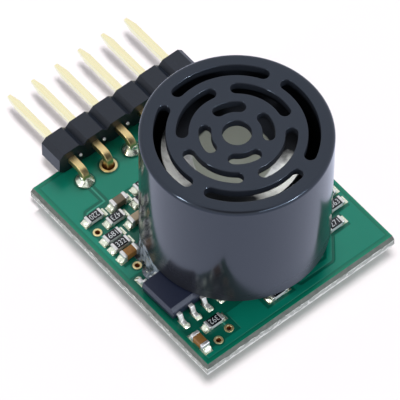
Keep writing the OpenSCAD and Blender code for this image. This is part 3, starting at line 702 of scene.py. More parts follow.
# %% Torn web round the board
def torn_laminate():
    """Torn glass-epoxy: matt grey, with a painted highlight along its crest, in dashes on the left side.
    """
    material, tree, shader, place = start_material("torn glass epoxy", "8c918a", 0.6)
    ends = add(tree, "ShaderNodeTexNoise", {"Vector": place, "Scale": per_mm(0.9), "Detail": 4.0})
    axes = add(tree, "ShaderNodeSeparateXYZ", {0: place})
    # Painted highlight along the crest: in dashes on the left side, whole along the front.
    crest = add(tree, "ShaderNodeMapRange", {"Value": axes.outputs["Z"], "From Min": web_high - 0.14 * MM,
                "From Max": web_high - 0.06 * MM})
    highlight_dashes = add(tree, "ShaderNodeMapRange", {"Value": ends, "From Min": 0.48, "From Max": 0.58})
    front = add(tree, "ShaderNodeMath", {0: axes.outputs["Y"], 1: board_front}, operation="LESS_THAN")
    bright = add(tree, "ShaderNodeMath", {0: highlight_dashes, 1: front}, operation="MAXIMUM")
    share = add(tree, "ShaderNodeMath", {0: crest, 1: bright}, operation="MULTIPLY")
    tone = add(tree, "ShaderNodeMix", {"Factor": share, "A": colour("acb0aa"),
               "B": colour("fafcf6")}, data_type="RGBA")
    fill(tree, shader, {"Base Color": tone})
    return material


def torn_web():
    """Four ragged strips, one along each edge of the board, that overlap at its corners."""
    web_t = 0.15 * MM
    bm = bmesh.new()
    corners = [Vector((board_left, board_front, 0)), Vector((board_right, board_front, 0)),
               Vector((board_right, board_back, 0)), Vector((board_left, board_back, 0))]
    middle_z, half_z = (web_low + web_high) / 2, (web_high - web_low) / 2
    for start, end in zip(corners, corners[1:] + corners[:1]):
        along = (end - start).normalized()
        out = along.cross(Vector((0, 0, 1)))
        known = set(bm.verts)
        bmesh.ops.create_grid(bm, x_segments=160, y_segments=6, size=1)
        made = [v for v in bm.verts if v not in known]
        length = (end - start).length / 2 + web_out
        # The grid runs from -1 to 1 on every edge, so its noise is scaled by the edge's length.
        strokes = Vector((length / MM, 0.6, 0)).length
        for vert in made:
            rough = noise.noise(vert.co * strokes * 1.7)
            place = (start + end) / 2 + along * vert.co.x * length
            ragged = noise.noise(Vector((place.x, place.y, 0)) * per_mm(0.6))
            bite = 0.01 * MM + max(vert.co.y, 0) * (ragged + 0.6) * 0.09 * MM
            place.z = middle_z + vert.co.y * (half_z - bite)
            grain = noise.noise(Vector((place.x, place.y, place.z * 2)) * per_mm(0.3))
            push = web_out + (0.02 + 0.08 * grain + 0.03 * rough) * MM
            vert.co = place + out * push
        faces = list({f for v in made for f in v.link_faces})
        inner = bmesh.ops.extrude_face_region(bm, geom=faces, use_keep_orig=True)["geom"]
        back_verts = [v for v in inner if isinstance(v, bmesh.types.BMVert)]
        bmesh.ops.translate(bm, verts=back_verts, vec=-out * web_t)
    return bm


settle("torn_web", torn_web(), [torn_laminate()], sharp=80)

# %% [markdown]
# ## Turned shapes and cuts
#
# The case, the dish and the solder cones are round, so each is a short outline
# spun about the upright axis. The dimples in the chips are cut with a Boolean
# modifier, whose result is read back into a bmesh for bevelling.

# %% Lathe and cut helpers
def lathe(outline, steps, centre=Vector((0, 0, 0))):
    """Spins an outline of (radius, height) points in metres once round."""
    bm = bmesh.new()
    ring = [bm.verts.new((radius, 0, z)) for radius, z in outline]
    edges = [bm.edges.new(pair) for pair in zip(ring, ring[1:])]
    bmesh.ops.spin(bm, geom=ring + edges, cent=(0, 0, 0), axis=(0, 0, 1), dvec=(0, 0, 0),
                   angle=math.tau, steps=steps, use_merge=True, use_duplicate=False)
    bmesh.ops.remove_doubles(bm, verts=bm.verts, dist=weld)
    bmesh.ops.recalc_face_normals(bm, faces=bm.faces)
    bmesh.ops.translate(bm, verts=bm.verts, vec=centre)
    return bm


def cut(bm, cutter):
    """Takes the cutter's volume out of a bmesh and gives back the result."""
    blank, tool = put("blank", mesh_of(bm, "blank")), put("cutter", mesh_of(cutter, "cutter"))
    boolean = blank.modifiers.new("cut", "BOOLEAN")
    boolean.operation, boolean.solver, boolean.object = "DIFFERENCE", "EXACT", tool
    shaped = blank.evaluated_get(bpy.context.evaluated_depsgraph_get())
    result = bmesh.new()
    result.from_mesh(shaped.data)
    for thing in (blank, tool):
        bpy.data.meshes.remove(thing.data)
    return result


def arc(centre, radius, start, end, steps):
    """Points on an arc, from one angle in degrees to another."""
    turns = [math.radians(start + (end - start) * i / steps) for i in range(steps + 1)]
    return [(centre[0] + radius * math.cos(t), centre[1] + radius * math.sin(t)) for t in turns]


print("lathe and cut ready")

# %% [markdown]
# ## The slotted case
#
# One cup of thin metal, open below, with a rounded rim. The wall is spun in 192
# steps, so that it reflects the room without facets. The eye and the twelve
# slots, which lie on three rings, are drawn as closed outlines in the plane of
# the top. Every opening is then pulled round its soft lip and down through the
# sheet, and the sheet's two faces are filled in between the openings.

# %% Openings of the case
case_r = (case_hi.x - case_lo.x) / 2
wall_t, top_t, rim_r, lip_r = 0.6 * MM, 0.75 * MM, 0.4 * MM, 0.09 * MM
eye_r, slot_w = 1.2 * MM, 1.0 * MM
# Each ring's radius in millimetres, its turn and the length of its slots in degrees.
slot_rings = [(2.6, -25, 40), (4.45, 20, 61), (6.3, -25, 70)]
slots = [(radius * MM, math.radians(turn + 90 * quarter), math.radians(sweep))
         for radius, turn, sweep in slot_rings for quarter in range(4)]


def slot_outline(bm, radius, middle, sweep):
    """Closed outline round one curved slot and its lip, in the plane of the top."""
    half, turn = slot_w / 2 + lip_r, Matrix.Rotation(middle - sweep / 2, 3, "Z")
    outer, inner = (bm.verts.new(turn @ Vector((radius + side * half, 0, case_hi.z))) for side in (1, -1))
    axis = {"axis": (0, 0, 1), "dvec": (0, 0, 0), "use_duplicate": False, "use_merge": False}
    swept = bmesh.ops.spin(bm, geom=[outer, inner], cent=(0, 0, 0), angle=sweep, steps=20, **axis)
    far = max((v for v in swept["geom_last"] if isinstance(v, bmesh.types.BMVert)),
              key=lambda v: v.co.length)
    far_middle = Matrix.Rotation(sweep, 3, "Z") @ turn @ Vector((radius, 0, 0))
    bmesh.ops.spin(bm, geom=[far], cent=far_middle, angle=math.pi, steps=12, **axis)
    bmesh.ops.spin(bm, geom=[inner], cent=turn @ Vector((radius, 0, 0)), angle=math.pi, steps=12, **axis)


def middle_line(place, radius, middle, sweep):
    """The point on a slot's middle line that is nearest to a place."""
    turn = (math.atan2(place.y, place.x) - middle + math.pi) % math.tau - math.pi
    turn = middle + max(-sweep / 2, min(sweep / 2, turn))
    return Vector((radius * math.cos(turn), radius * math.sin(turn), 0))


def sink(bm, edges, half, slot):
    """Pulls an outline round its lip and down to the underside of the sheet."""
    steps = [math.radians(30 * i) for i in (1, 2, 3)]
    profile = [(half + lip_r * (1 - math.sin(t)), lip_r * (1 - math.cos(t))) for t in steps]
    for width, depth in [*profile, (half, top_t)]:
        out = bmesh.ops.extrude_edge_only(bm, edges=edges)["geom"]
        moved = {part for part in out if isinstance(part, bmesh.types.BMVert)}
        for vert in moved:
            middle = middle_line(vert.co, *slot)
            away = (vert.co.xy - middle.xy).normalized() * width
            vert.co = middle + Vector((away.x, away.y, case_hi.z - depth))
        edges = [edge for edge in bm.edges if moved.issuperset(edge.verts)]


print("case has", 1 + len(slots), "openings")

# %% Case
# The thin undercoat starts this far inside the wall's face and below the top's.
coat_in, coat_down = 0.3 * MM, 0.12 * MM


def slotted_case():
    """The cup with its openings. Its outside takes the lacquer and its inside the undercoat."""
    top, bore = case_hi.z, case_r - wall_t
    bm = lathe([*arc((case_r - rim_r, top - rim_r), rim_r, 90, 0, 6), (case_r, case_lo.z),
                (bore, case_lo.z), (bore, top - top_t)], 192)
    for half, slot in [(eye_r, (0, 0, 0)), *[(slot_w / 2, slot) for slot in slots]]:
        known = set(bm.edges)
        if slot[0]:
            slot_outline(bm, *slot)
            bmesh.ops.remove_doubles(bm, verts=[v for v in bm.verts if v.is_wire], dist=weld)
        else:
            level_place = Matrix.Translation((0, 0, top))
            bmesh.ops.create_circle(bm, segments=96, radius=eye_r + lip_r, matrix=level_place)
        sink(bm, [edge for edge in bm.edges if edge.is_wire and edge not in known], half, slot)
    for level_z in (top, top - top_t):
        loops = [edge for edge in bm.edges if edge.is_boundary
                 and all(abs(v.co.z - level_z) < weld for v in edge.verts)]
        bmesh.ops.triangle_fill(bm, edges=loops, use_beauty=True, use_dissolve=False)
    bmesh.ops.dissolve_limit(bm, angle_limit=math.radians(0.5), verts=bm.verts, edges=bm.edges)
    bmesh.ops.translate(bm, verts=bm.verts, vec=case_axis)
    for face in bm.faces:
        middle = face.calc_center_median()
        within = (middle - case_axis).to_2d().length < case_r - coat_in
        face.material_index = int(within and middle.z < top - coat_down)
    print("open edges left:", sum(not edge.is_manifold for edge in bm.edges))
    return bm


case = settle("slotted_case", slotted_case(), [lacquer, bare_black], ["transducer_case"], sharp=50)

# %% [markdown]
# ### The dish's sheet
#
# The dish is one sheet, 0.25 mm thick, whose flat floor curves up into the
# wall. It sits a little off the case's axis, and its rim goes out as far as its
# bright flanks show through the outer slots in the photograph.

# %% Dish
def dish():
    """Flat floor that curves up into the wall, one sheet thick."""
    t, flat_r, rim = 0.25 * MM, 3.1 * MM, 5.85 * MM
    low, rise = dish_lo.z, dish_hi.z - dish_lo.z - t
    lean = 2 * math.atan2(rise, rim - flat_r)
    bow = (rim - flat_r) / math.sin(lean)
    centre = (flat_r, low + t + bow)
    inner = arc(centre, bow, -90, -90 + math.degrees(lean), 14)
    outer = arc(centre, bow + t, -90 + math.degrees(lean), -90, 14)
    outer = [(min(r, rim), z) for r, z in outer]
    return lathe([(0, low + t), *inner, *outer, (0, low)], 128, dish_axis)


pressed_dish = settle("pressed_dish", dish(), [aluminium], ["resonator_dish"])

# %% [markdown]
# ## Bent pins
#
# A pin is one square wire with slightly rounded corners. It is grown like a
# stem: a small face is pulled up out of its taper, carried through the bend by
# a spin and pulled on to its tapered tip.

# %% Six pins
pin_half, pin_bend_r = 0.32 * MM, 0.72 * MM
tip_taper, tail_taper = 1.1 * MM, 0.5 * MM


def grow(bm, face, move, scale=1.0):
    """Extrudes a face, moves it on and scales it about its middle."""
    out = bmesh.ops.extrude_face_region(bm, geom=[face])["geom"]
    face = next(part for part in out if isinstance(part, bmesh.types.BMFace))
    bmesh.ops.translate(bm, verts=face.verts, vec=move)
    middle = Matrix.Translation(-face.calc_center_median())
    bmesh.ops.scale(bm, verts=face.verts, vec=(scale,) * 3, space=middle)
    return face


def bent_pin(name):
    """A square wire with tapered ends, from its tail below the board round to its tip."""
    lo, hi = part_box(name)
    x, y, level_z = (lo.x + hi.x) / 2, lo.y + pin_half, hi.z - pin_half
    bm = bmesh.new()
    bmesh.ops.create_grid(bm, x_segments=1, y_segments=1, size=pin_half)
    bmesh.ops.bevel(bm, geom=bm.verts, offset=0.06 * MM, offset_type="OFFSET", segments=3,
                    profile=0.5, affect="VERTICES", clamp_overlap=True, material=-1)
    bmesh.ops.scale(bm, verts=bm.verts, vec=(0.5, 0.5, 1))
    bmesh.ops.translate(bm, verts=bm.verts, vec=(x, y, lo.z))
    bm.faces.ensure_lookup_table()
    face = grow(bm, bm.faces[0], (0, 0, tail_taper), 2)
    face = grow(bm, face, (0, 0, level_z - pin_bend_r - tail_taper - lo.z))
    turned = bmesh.ops.spin(bm, geom=[face], cent=(x, y + pin_bend_r, level_z - pin_bend_r),
                            axis=(-1, 0, 0), dvec=(0, 0, 0), angle=math.pi / 2, steps=12,
                            use_merge=False, use_duplicate=False)
    face = next(part for part in turned["geom_last"] if isinstance(part, bmesh.types.BMFace))
    face = grow(bm, face, (0, hi.y - tip_taper - y - pin_bend_r, 0))
    grow(bm, face, (0, tip_taper, 0), 0.5)
    bmesh.ops.remove_doubles(bm, verts=bm.verts, dist=weld)
    return bm


for way in ways:
    settle(f"header_pin_{way}", bent_pin(f"pin_{way}"), [pin_gold], [f"pin_{way}"])

# %% [markdown]
# ## Solder cones
#
# Molten solder climbs a pin and pulls its surface into a hollow flank. The cone
# is turned first and then pushed about by a smooth noise, because no two joints
# freeze alike. The noise gets a seed, without which it would start from the
# clock and differ on each run. The second pin has its joint on the underside
# only.

# %% Solder on pins and terminals
lump_seed = 3
noise.seed_set(lump_seed)


def lumpy(verts, amount_mm, size_mm, seed):
    """Moves vertices along a smooth random field, the same on each run."""
    for vert in verts:
        place = vert.co * per_mm(size_mm) + Vector((seed * 7.3, seed * 3.1, 0))
        vert.co += noise.noise_vector(place) * amount_mm * MM


def cone_outline(foot, neck, height, direction, z):
    """Hollow flank from a foot on the pad up to a neck at the pin."""
    flank = [(neck + (foot - neck) * (1 - i / 8) ** 1.5, z + direction * (0.05 * MM + height * i / 8))
             for i in range(9)]
    return [(0, z), (foot, z), *flank, (neck * 0.8, z + direction * (height + 0.08 * MM)),
            (0, z + direction * (height + 0.1 * MM))]


def join(whole, part):
    """Moves all of one bmesh into another."""
    mesh = mesh_of(part, "part")
    whole.from_mesh(mesh)
    bpy.data.meshes.remove(mesh)


def cones(name, places, node):
    """All cones of one node, each turned, pushed about and set on its pad."""
    whole = bmesh.new()
    for index, (x, y, foot, neck, height, direction, z) in enumerate(places):
        bm = lathe(cone_outline(foot, neck, height, direction, z), 28, Vector((x, y, 0)))
        lumpy([v for v in bm.verts if abs(v.co.z - z) > 0.02 * MM], 0.07, 0.5, index)
        join(whole, bm)
    settle(name, whole, [solder], [node], sharp=60)


pad_t, bare_pin = 0.05 * MM, 2
pin_joints = []
for way, x_mm in enumerate(pin_xs, 1):
    if way != bare_pin:
        pin_joints.append((x_mm * MM, pin_y * MM, 0.8 * MM, 0.4 * MM, 0.58 * MM, 1, board_top + pad_t))
    pin_joints.append((x_mm * MM, pin_y * MM, 0.76 * MM, 0.44 * MM, 1.0 * MM, -1, board_under - pad_t))
cones("pin_solder_cones", pin_joints, "pin_solder")
terminal_joints = []
for name in ("terminal_front", "terminal_back"):
    lo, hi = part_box(name)
    terminal_joints.append(((lo.x + hi.x) / 2, (lo.y + hi.y) / 2, 0.88 * MM, 0.46 * MM, 1.0 * MM, -1,
                            board_under - pad_t))
cones("terminal_solder_cones", terminal_joints, "terminal_solder")

# %% [markdown]
# ## Chip parts
#
# All of them are small blocks with tinned ends, soldered flat to the board. One
# helper makes a block with rounded edges, another a drop of solder drawn out to
# a foot, and a third puts the tinned ends on. Each part is built upright at the
# origin and then moved to the place and turn that the frame's box for it gives,
# upside down if it sits underneath.

# %% Blocks, drops and places
def block(bm, size_mm, centre_mm, edge_mm, index=0, segments=2):
    """A box with rounded edges and one material index. Gives back its vertices."""
    known = set(bm.verts)
    shape = Matrix.Translation(Vector(centre_mm) * MM) @ Matrix.Diagonal((*(Vector(size_mm) * MM), 1))
    made = bmesh.ops.create_cube(bm, size=1.0, matrix=shape)
    for face in {f for v in made["verts"] for f in v.link_faces}:
        face.material_index = index
    edges = list({e for v in made["verts"] for e in v.link_edges})
    bmesh.ops.bevel(bm, geom=edges, offset=edge_mm * MM, offset_type="OFFSET", segments=segments,
                    profile=0.5, affect="EDGES", clamp_overlap=True, material=-1)
    return [v for v in bm.verts if v not in known]


def drop(bm, at, along, reach_mm, width_mm, height_mm, seed):
    """A square-shouldered drop of solder that slopes from an end down to its foot."""
    made = bmesh.ops.create_icosphere(bm, subdivisions=4, radius=1.0)["verts"]
    behind_mm, squareness, narrowing, fall, hollow = 0.1, 0.7, 0.1, 0.82, 1.2
    for vert in made:
        x, y, z = (math.copysign(abs(v) ** squareness, v) for v in vert.co)
        out = (x + 1) / 2
        reach = out * (reach_mm + behind_mm) - behind_mm
        slope = 1 - fall * max(out, 0) ** hollow
        width = y * width_mm / 2 * (1 - narrowing * out)
        vert.co = Vector((reach, width, (z + 1) / 2 * height_mm * slope)) * MM
    lumpy(made, 0.05, 0.3, seed)
    for vert in made:
        vert.co.z = max(vert.co.z, 0.0)
    turn = Matrix.Rotation(along, 4, "Z")
    bmesh.ops.transform(bm, verts=made, matrix=Matrix.Translation(at) @ turn)


def chip_place(name):
    """Matrix from a part built on z = 0 at the origin to its place in the frame."""
    lo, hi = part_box(name)
    middle, size = (lo + hi) / 2, hi - lo
    below = hi.z < board_under
    turn = Matrix.Rotation(math.pi / 2 if size.y > size.x else 0, 4, "Z")
    flip = Matrix.Rotation(math.pi if below else 0, 4, "X")
    return Matrix.Translation((middle.x, middle.y, hi.z if below else lo.z)) @ flip @ turn


def finish_chip(kind, number, bm, end_size, edge_mm, materials):
    """Puts the tinned ends on a ceramic body and sets the part in its place."""
    length, height = end_size[0], end_size[2]
    for side in (-1, 1):
        end = block(bm, end_size, (side * (chip_l - length) / 2, 0, height / 2), edge_mm,
                    len(materials), 3)
        lumpy(end, 0.02, 0.3, number + side * 0.4)
    bmesh.ops.transform(bm, verts=bm.verts, matrix=chip_place(f"{kind}_{number}"))
    settle(f"{kind}_chip_{number}", bm, [*materials, tin], [f"{kind}_{number}"])


chip_l, chip_w, end_l, cap_end_l = 1.6, 0.8, 0.26, 0.35
resistor_h, capacitor_h = 0.45, 0.8
print("resistor 7 is at", [round(v / MM, 2) for v in chip_place("resistor_7").translation])

# %% [markdown]
# ### Resistors
#
# A white alumina block with a thin resistive film under a black glass coat, and
# tinned ends that wrap round it. The coat covers the top between the ends, and
# below it the white ceramic shows along both sides.

# %% Resistors
for number in range(1, 13):
    bm = bmesh.new()
    block(bm, (chip_l - 0.08, chip_w - 0.02, resistor_h - 0.03), (0, 0, resistor_h / 2), 0.02, 0)
    block(bm, (chip_l - 2 * end_l + 0.04, chip_w - 0.01, 0.06), (0, 0, resistor_h), 0.02, 1)
    finish_chip("resistor", number, bm, (end_l, chip_w + 0.02, resistor_h + 0.02), 0.05,
                [alumina, glass_coat])

# %% [markdown]
# ### Value codes
#
# Chip resistors carry a plain three-digit value, and some of them end up turned
# half round. Text starts as a font curve and is made a mesh before it is
# placed. These values are made up for this lesson.

# %% Codes on the resistors
value_codes = {1: "220", 2: "473", 3: "681", 4: "332", 5: "150", 6: "474", 7: "392", 8: "122",
               9: "563", 10: "271", 11: "820", 12: "154"}
read_from_behind = (1, 2, 7, 12)
digit_h, code_w = 0.5, 0.86
# Shares of the letters' size: the ink's thickness, and strokes drawn a little thinner.
ink_depth, stroke_change = 0.005, -0.012


def code_mesh(text):
    """Flat mesh of a code, centred on the origin, with a set height and width."""
    curve = bpy.data.curves.new("code", "FONT")
    curve.body, curve.align_x, curve.align_y = text, "CENTER", "CENTER"
    curve.extrude, curve.offset = ink_depth, stroke_change
    writer = put("code", curve)
    mesh = bpy.data.meshes.new_from_object(
        writer.evaluated_get(bpy.context.evaluated_depsgraph_get()))
    bpy.data.curves.remove(curve)
    low = [min(v.co[axis] for v in mesh.vertices) for axis in range(2)]
    high = [max(v.co[axis] for v in mesh.vertices) for axis in range(2)]
    middle = Matrix.Translation((-(low[0] + high[0]) / 2, -(low[1] + high[1]) / 2, 0))
    scale = Matrix.Diagonal((code_w * MM / (high[0] - low[0]), digit_h * MM / (high[1] - low[1]), MM, 1))
    mesh.transform(scale @ middle)
    return mesh


codes = bmesh.new()
for number, text in value_codes.items():
    mesh = code_mesh(text)
    turn = Matrix.Rotation(math.pi if number in read_from_behind else 0, 4, "Z")
    raise_it = Matrix.Translation((0, 0, (resistor_h + 0.03) * MM))
    mesh.transform(chip_place(f"resistor_{number}") @ raise_it @ turn)
    codes.from_mesh(mesh)
    bpy.data.meshes.remove(mesh)
settle("resistor_codes", codes, [marking_ink])

# %% [markdown]
# ### Capacitors
#
# Taller blocks of fired ceramic, rounder at the edges because they were tumbled
# before the ends were dipped. Their colour differs from one type to the next.

# %% Capacitors
capacitor_bodies = {1: grey_ceramic, 2: brown_ceramic, 3: tan_ceramic, 4: brown_ceramic,
                    5: tan_ceramic, 6: brown_ceramic}
for number, body in capacitor_bodies.items():
    bm = bmesh.new()
    block(bm, (chip_l - 0.06, chip_w - 0.06, capacitor_h - 0.06), (0, 0, capacitor_h / 2), 0.07, 0, 3)
    finish_chip("capacitor", number, bm, (cap_end_l, chip_w, capacitor_h), 0.09, [body])

# %% [markdown]
# ### Their solder
#
# A drop at each end wets the tinned face and runs out on its pad. At the left or
# front end it climbs higher and runs out further than at the other, as in the
# photograph, and noise pushes each drop about, so that no two are alike.

# %% Solder at the chip parts' ends
near_reach, far_reach, far_share = 0.36, 0.26, 0.6


def chip_drops():
    """Two drops for each chip part, one at each end."""
    bm = bmesh.new()
    parts = [(f"resistor_{n}", resistor_h * 0.8) for n in range(1, 13)]
    parts += [(f"capacitor_{n}", capacitor_h * 0.62) for n in range(1, 7)]
    for index, (name, height) in enumerate(parts):
        local = bmesh.new()
        for side, along in ((1, 0.0), (-1, math.pi)):
            reach = near_reach if side < 0 else far_reach
            reach += 0.05 * noise.noise(Vector((index * 1.7, side, 0)))
            tall = height if side < 0 else height * far_share
            end = Vector((side * chip_l / 2 * MM, 0, 0))
            drop(local, end, along, reach, chip_w, tall, index + side * 0.3)
        bmesh.ops.transform(local, verts=local.verts, matrix=chip_place(name))
        join(bm, local)
    return bm


settle("chip_solder_drops", chip_drops(), [solder], ["chip_solder"], sharp=60)

# %% [markdown]
# ## Leaded chips
#
# The amplifier is an eight-lead package, the controller under the board a finer
# one with twenty leads. Their bodies are moulded with a draft and get only a
# small bevel, and a shallow round dimple marks the first lead.

# %% Chip bodies
dimple_r, dimple_depth = 0.3 * MM, 0.05 * MM


def chip_body(name, node, corner, edge_mm):
    """A softened copy of a moulded body with a round dimple near one corner."""
    lo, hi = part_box(node)
    face_z = lo.z if hi.z < board_under else hi.z
    spot = Vector((lo.x + corner[0] * MM, lo.y + corner[1] * MM, face_z))
    tool = lathe([(0, -dimple_depth), (dimple_r, -dimple_depth), (dimple_r, dimple_depth),
                  (0, dimple_depth)], 32, spot)
    bm = cut(merged(node), tool)
    bmesh.ops.remove_doubles(bm, verts=bm.verts, dist=weld)
    settle(name, soften(bm, edge_mm, 2, 12), [chip_epoxy], [node])


chip_body("amplifier_case", "amplifier_body", (0.85, 0.95), 0.04)
chip_body("controller_case", "controller_body", (0.8, 0.8), 0.03)

# %% [markdown]
# ### Solder at the leads
#
# Each lead's foot stands on its pad, and solder runs out in front of its toe.
# The amplifier sits a little askew, as in the photograph, and its drops turn
# with it.

# %% Solder at the leads' feet
def lead_drops():
    """A drop in front of each lead's foot. A row gives the chip, its leads on one side, their
    pitch, the feet's distance from its middle, its turn and the drops' width, reach and height."""
    bm = bmesh.new()
    rows = [("amplifier_body", 4, 1.27, 3.0, math.radians(1.5), 0.62, 0.36, 0.24),
            ("controller_body", 10, 0.65, 3.2, 0.0, 0.26, 0.25, 0.16)]
    for node, count, step, reach_y, turn, width, reach, height in rows:
        lo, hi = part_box(node)
        below = hi.z < board_under
        level_z = board_under - pad_t if below else board_top + pad_t
        flip = Matrix.Rotation(math.pi if below else 0, 4, "X")
        place = Matrix.Translation(((lo.x + hi.x) / 2, (lo.y + hi.y) / 2, level_z)) @ flip
        place = place @ Matrix.Rotation(turn, 4, "Z")
        local = bmesh.new()
        for side in (-1, 1):
            for i in range(count):
                at = Vector(((i - (count - 1) / 2) * step, side * (reach_y - 0.05), 0)) * MM
                drop(local, at, side * math.pi / 2, reach, width, height, i + side * 0.3)
        bmesh.ops.transform(local, verts=local.verts, matrix=place)
        join(bm, local)
    return bm


lead_solder_drops = settle("lead_solder_drops", lead_drops(), [solder], ["lead_solder"], sharp=60)

# %% [markdown]
# ## A dab of glue
#
# The case was fixed with a dab of clear hot-melt glue that set between its edge
# and the board, beside the amplifier. It is a grid that is bent round the case's
# axis and closed: across it runs a hollow fillet from the case's wall down to
# the board, which is highest in the middle of the dab and keeps clear of the
# small gold ring next to it. Noise then makes its skin wavy.

# %% Glue
def hot_melt():
    """Clear thermoplastic glue: smooth skin, slightly milky inside."""
    material, tree, shader, place = start_material("clear hot-melt glue", "a0aebc", 0.06,
                                                   sockets={"Transmission Weight": 0.5})
    swirl = add(tree, "ShaderNodeTexNoise", {"Vector": place, "Scale": per_mm(0.9), "Detail": 2.0})
    milky = add(tree, "ShaderNodeMapRange", {"Value": swirl, "From Min": 0.42, "From Max": 0.62})
    tone = add(tree, "ShaderNodeMix", {"Factor": milky, "A": colour("3a484c"),
               "B": colour("ccdcec")}, data_type="RGBA")
    bump = add(tree, "ShaderNodeBump", {"Height": swirl, "Strength": 1.0, "Distance": 0.4 * MM})
    fill(tree, shader, {"Base Color": tone, "Normal": bump})
    return material


glue_middle, glue_half = math.radians(163), math.radians(15)
glue_steps, glue_rungs = 40, 12
near_ring, near_ring_r = Vector((*vias[1], 0)) * MM - case_axis, 0.42 * MM


def glue_section(t):
    """Points round the fillet's section, at t from -1 at one end of the dab to 1 at the other."""
    angle = glue_middle + t * glue_half
    swell = max(1 - t * t, 0.0) ** 0.6
    away = Vector((math.cos(angle), math.sin(angle), 0))
    past_ring = (near_ring - away * away.dot(near_ring)).length / near_ring_r
    room = near_ring.length - case_r - near_ring_r * (1.15 - 0.5 * min(past_ring, 2.0))
    reach = min((0.1 + 0.8 * swell) * MM, room)
    height = max((0.2 + 2.0 * swell ** 1.5) * MM, case_lo.z - board_top)
    inner, foot = case_r - 1.0 * MM, case_lo.z - 0.02 * MM
    section = [(inner, board_top), (inner, foot), (case_r, foot)]
    for turn in (math.pi / 2 * rung / glue_rungs for rung in range(glue_rungs + 1)):
        section.append((case_r + 0.01 * MM + reach * (1 - math.cos(turn)),
                        board_top + height * (1 - math.sin(turn))))
    return [case_axis + Vector((r * math.cos(angle), r * math.sin(angle), z)) for r, z in section]


def glue_bead():
    """The dab, as a grid with its long sides joined and its ends filled."""
    bm = bmesh.new()
    sections = [glue_section(2 * i / glue_steps - 1) for i in range(glue_steps + 1)]
    around = len(sections[0])
    bmesh.ops.create_grid(bm, x_segments=glue_steps, y_segments=around, size=1)
    # The grid's rows run backwards round the section, and the last one meets the first again.
    for vert in bm.verts:
        i, k = (round((share + 1) / 2 * count) for share, count in zip(vert.co, (glue_steps, around)))
        vert.co = sections[i][-k]
    bmesh.ops.remove_doubles(bm, verts=bm.verts, dist=weld)
    bmesh.ops.holes_fill(bm, edges=bm.edges, sides=0)
    lumpy([v for v in bm.verts if v.co.z > board_top + 0.02 * MM
           and (v.co - case_axis).to_2d().length > case_r + 0.05 * MM], 0.16, 0.5, 5)
    return bm


settle("glue_bead", glue_bead(), [hot_melt()], ["glue_dab"], sharp=80)

# %% [markdown]
# ## Floor, room and lamps
#
# The floor is plain and pale, the room is white but for one dim spot. A large
# soft lamp high behind the right side shapes the object, as in the photograph,
# where the case shades the board in front of it. Narrow lamps to the left and
# in front draw the bright lines on the wall, and two small ones those on the
# rim. The dish under the slots and the chip under the case would stay too dark,
# so small lamps light them alone.
#
# The floor lies in two sheets that meet under the board's back edge, because
# the pins throw their shadows from another side and more sharply than the board
# does. Each sheet has a distant lamp of its own. A third one lights both and
# is blocked by nothing that stands on them, so it softens the shadows.

# %% Floor and world
def floor_material():
    """Pale and matt, cooler in the reflections on the object, and clear when seen from below."""
    material, tree, shader, _ = start_material("pale floor", "d5cfd1", 0.9,
                                               sockets={"Specular IOR Level": 0.0})
    ray = add(tree, "ShaderNodeLightPath")
    tone = add(tree, "ShaderNodeMix", {"Factor": ray.outputs["Is Glossy Ray"], "A": colour("d5cfd1"),
               "B": colour("c6cadc")}, data_type="RGBA")
    from_below = add(tree, "ShaderNodeNewGeometry").outputs["Backfacing"]
    clear = add(tree, "ShaderNodeBsdfTransparent")
    seen = add(tree, "ShaderNodeMath", {0: from_below, 1: ray.outputs["Is Camera Ray"]},
               operation="MULTIPLY")
    either = add(tree, "ShaderNodeMixShader", {"Fac": seen, 1: shader, 2: clear})
    fill(tree, shader, {"Base Color": tone})
    fill(tree, tree.nodes["Material Output"], {"Surface": either})
    return material


def floor(name, material, front):
    """Half of a round floor, in front of the seam or behind it."""
    bm = bmesh.new()
    bmesh.ops.create_circle(bm, cap_ends=True, segments=64, radius=1.5)
    bmesh.ops.bisect_plane(bm, geom=bm.verts[:] + bm.edges[:] + bm.faces[:], plane_co=(0, floor_seam, 0),
                           plane_no=(0, 1, 0), clear_outer=front, clear_inner=not front)
    mesh = mesh_of(bm, name)
    mesh.materials.append(material)
    plane = put(name, mesh)
    return plane


def white_room(level):
    """Even white light of that level. Reflections see plain white, but for one dim spot high on the
    front left, in the direction from which the picture is taken."""
    world = bpy.data.worlds.new("white room")
    scene.world = world
    world.use_nodes = True
    tree = world.node_tree
    ray = add(tree, "ShaderNodeLightPath")
    way = add(tree, "ShaderNodeTexCoord").outputs["Generated"]
    towards = add(tree, "ShaderNodeVectorMath", {0: way, 1: Vector((-0.37, -0.43, 0.82)).normalized()},
                  operation="DOT_PRODUCT")
    side = add(tree, "ShaderNodeMapRange", {"Value": towards, "From Min": 0.86,
               "From Max": 0.96, "To Min": 1.0, "To Max": 0.1})
    strength = add(tree, "ShaderNodeMapRange", {"Value": ray.outputs["Is Glossy Ray"], "To Min": level,
                   "To Max": side})
    seen = add(tree, "ShaderNodeMath", {0: strength, 1: ray.outputs["Is Camera Ray"]},
               operation="MAXIMUM")
    tint = add(tree, "ShaderNodeMix", {"Factor": ray.outputs["Is Glossy Ray"], "A": colour("f8fbff"),
               "B": colour("f5f7ff")}, data_type="RGBA")
    fill(tree, tree.nodes["Background"], {"Strength": seen, "Color": tint})


floor_seam = board_back - 0.3 * MM
pale = floor_material()
front_floor, back_floor = floor("front floor", pale, True), floor("back floor", pale, False)
floors = [front_floor, back_floor]
white_room(level=0.36)
print("the floor's seam is at", round(floor_seam / MM, 2), "mm")

# %% Lamps
aim = Vector((0, -4 * MM, 6 * MM))


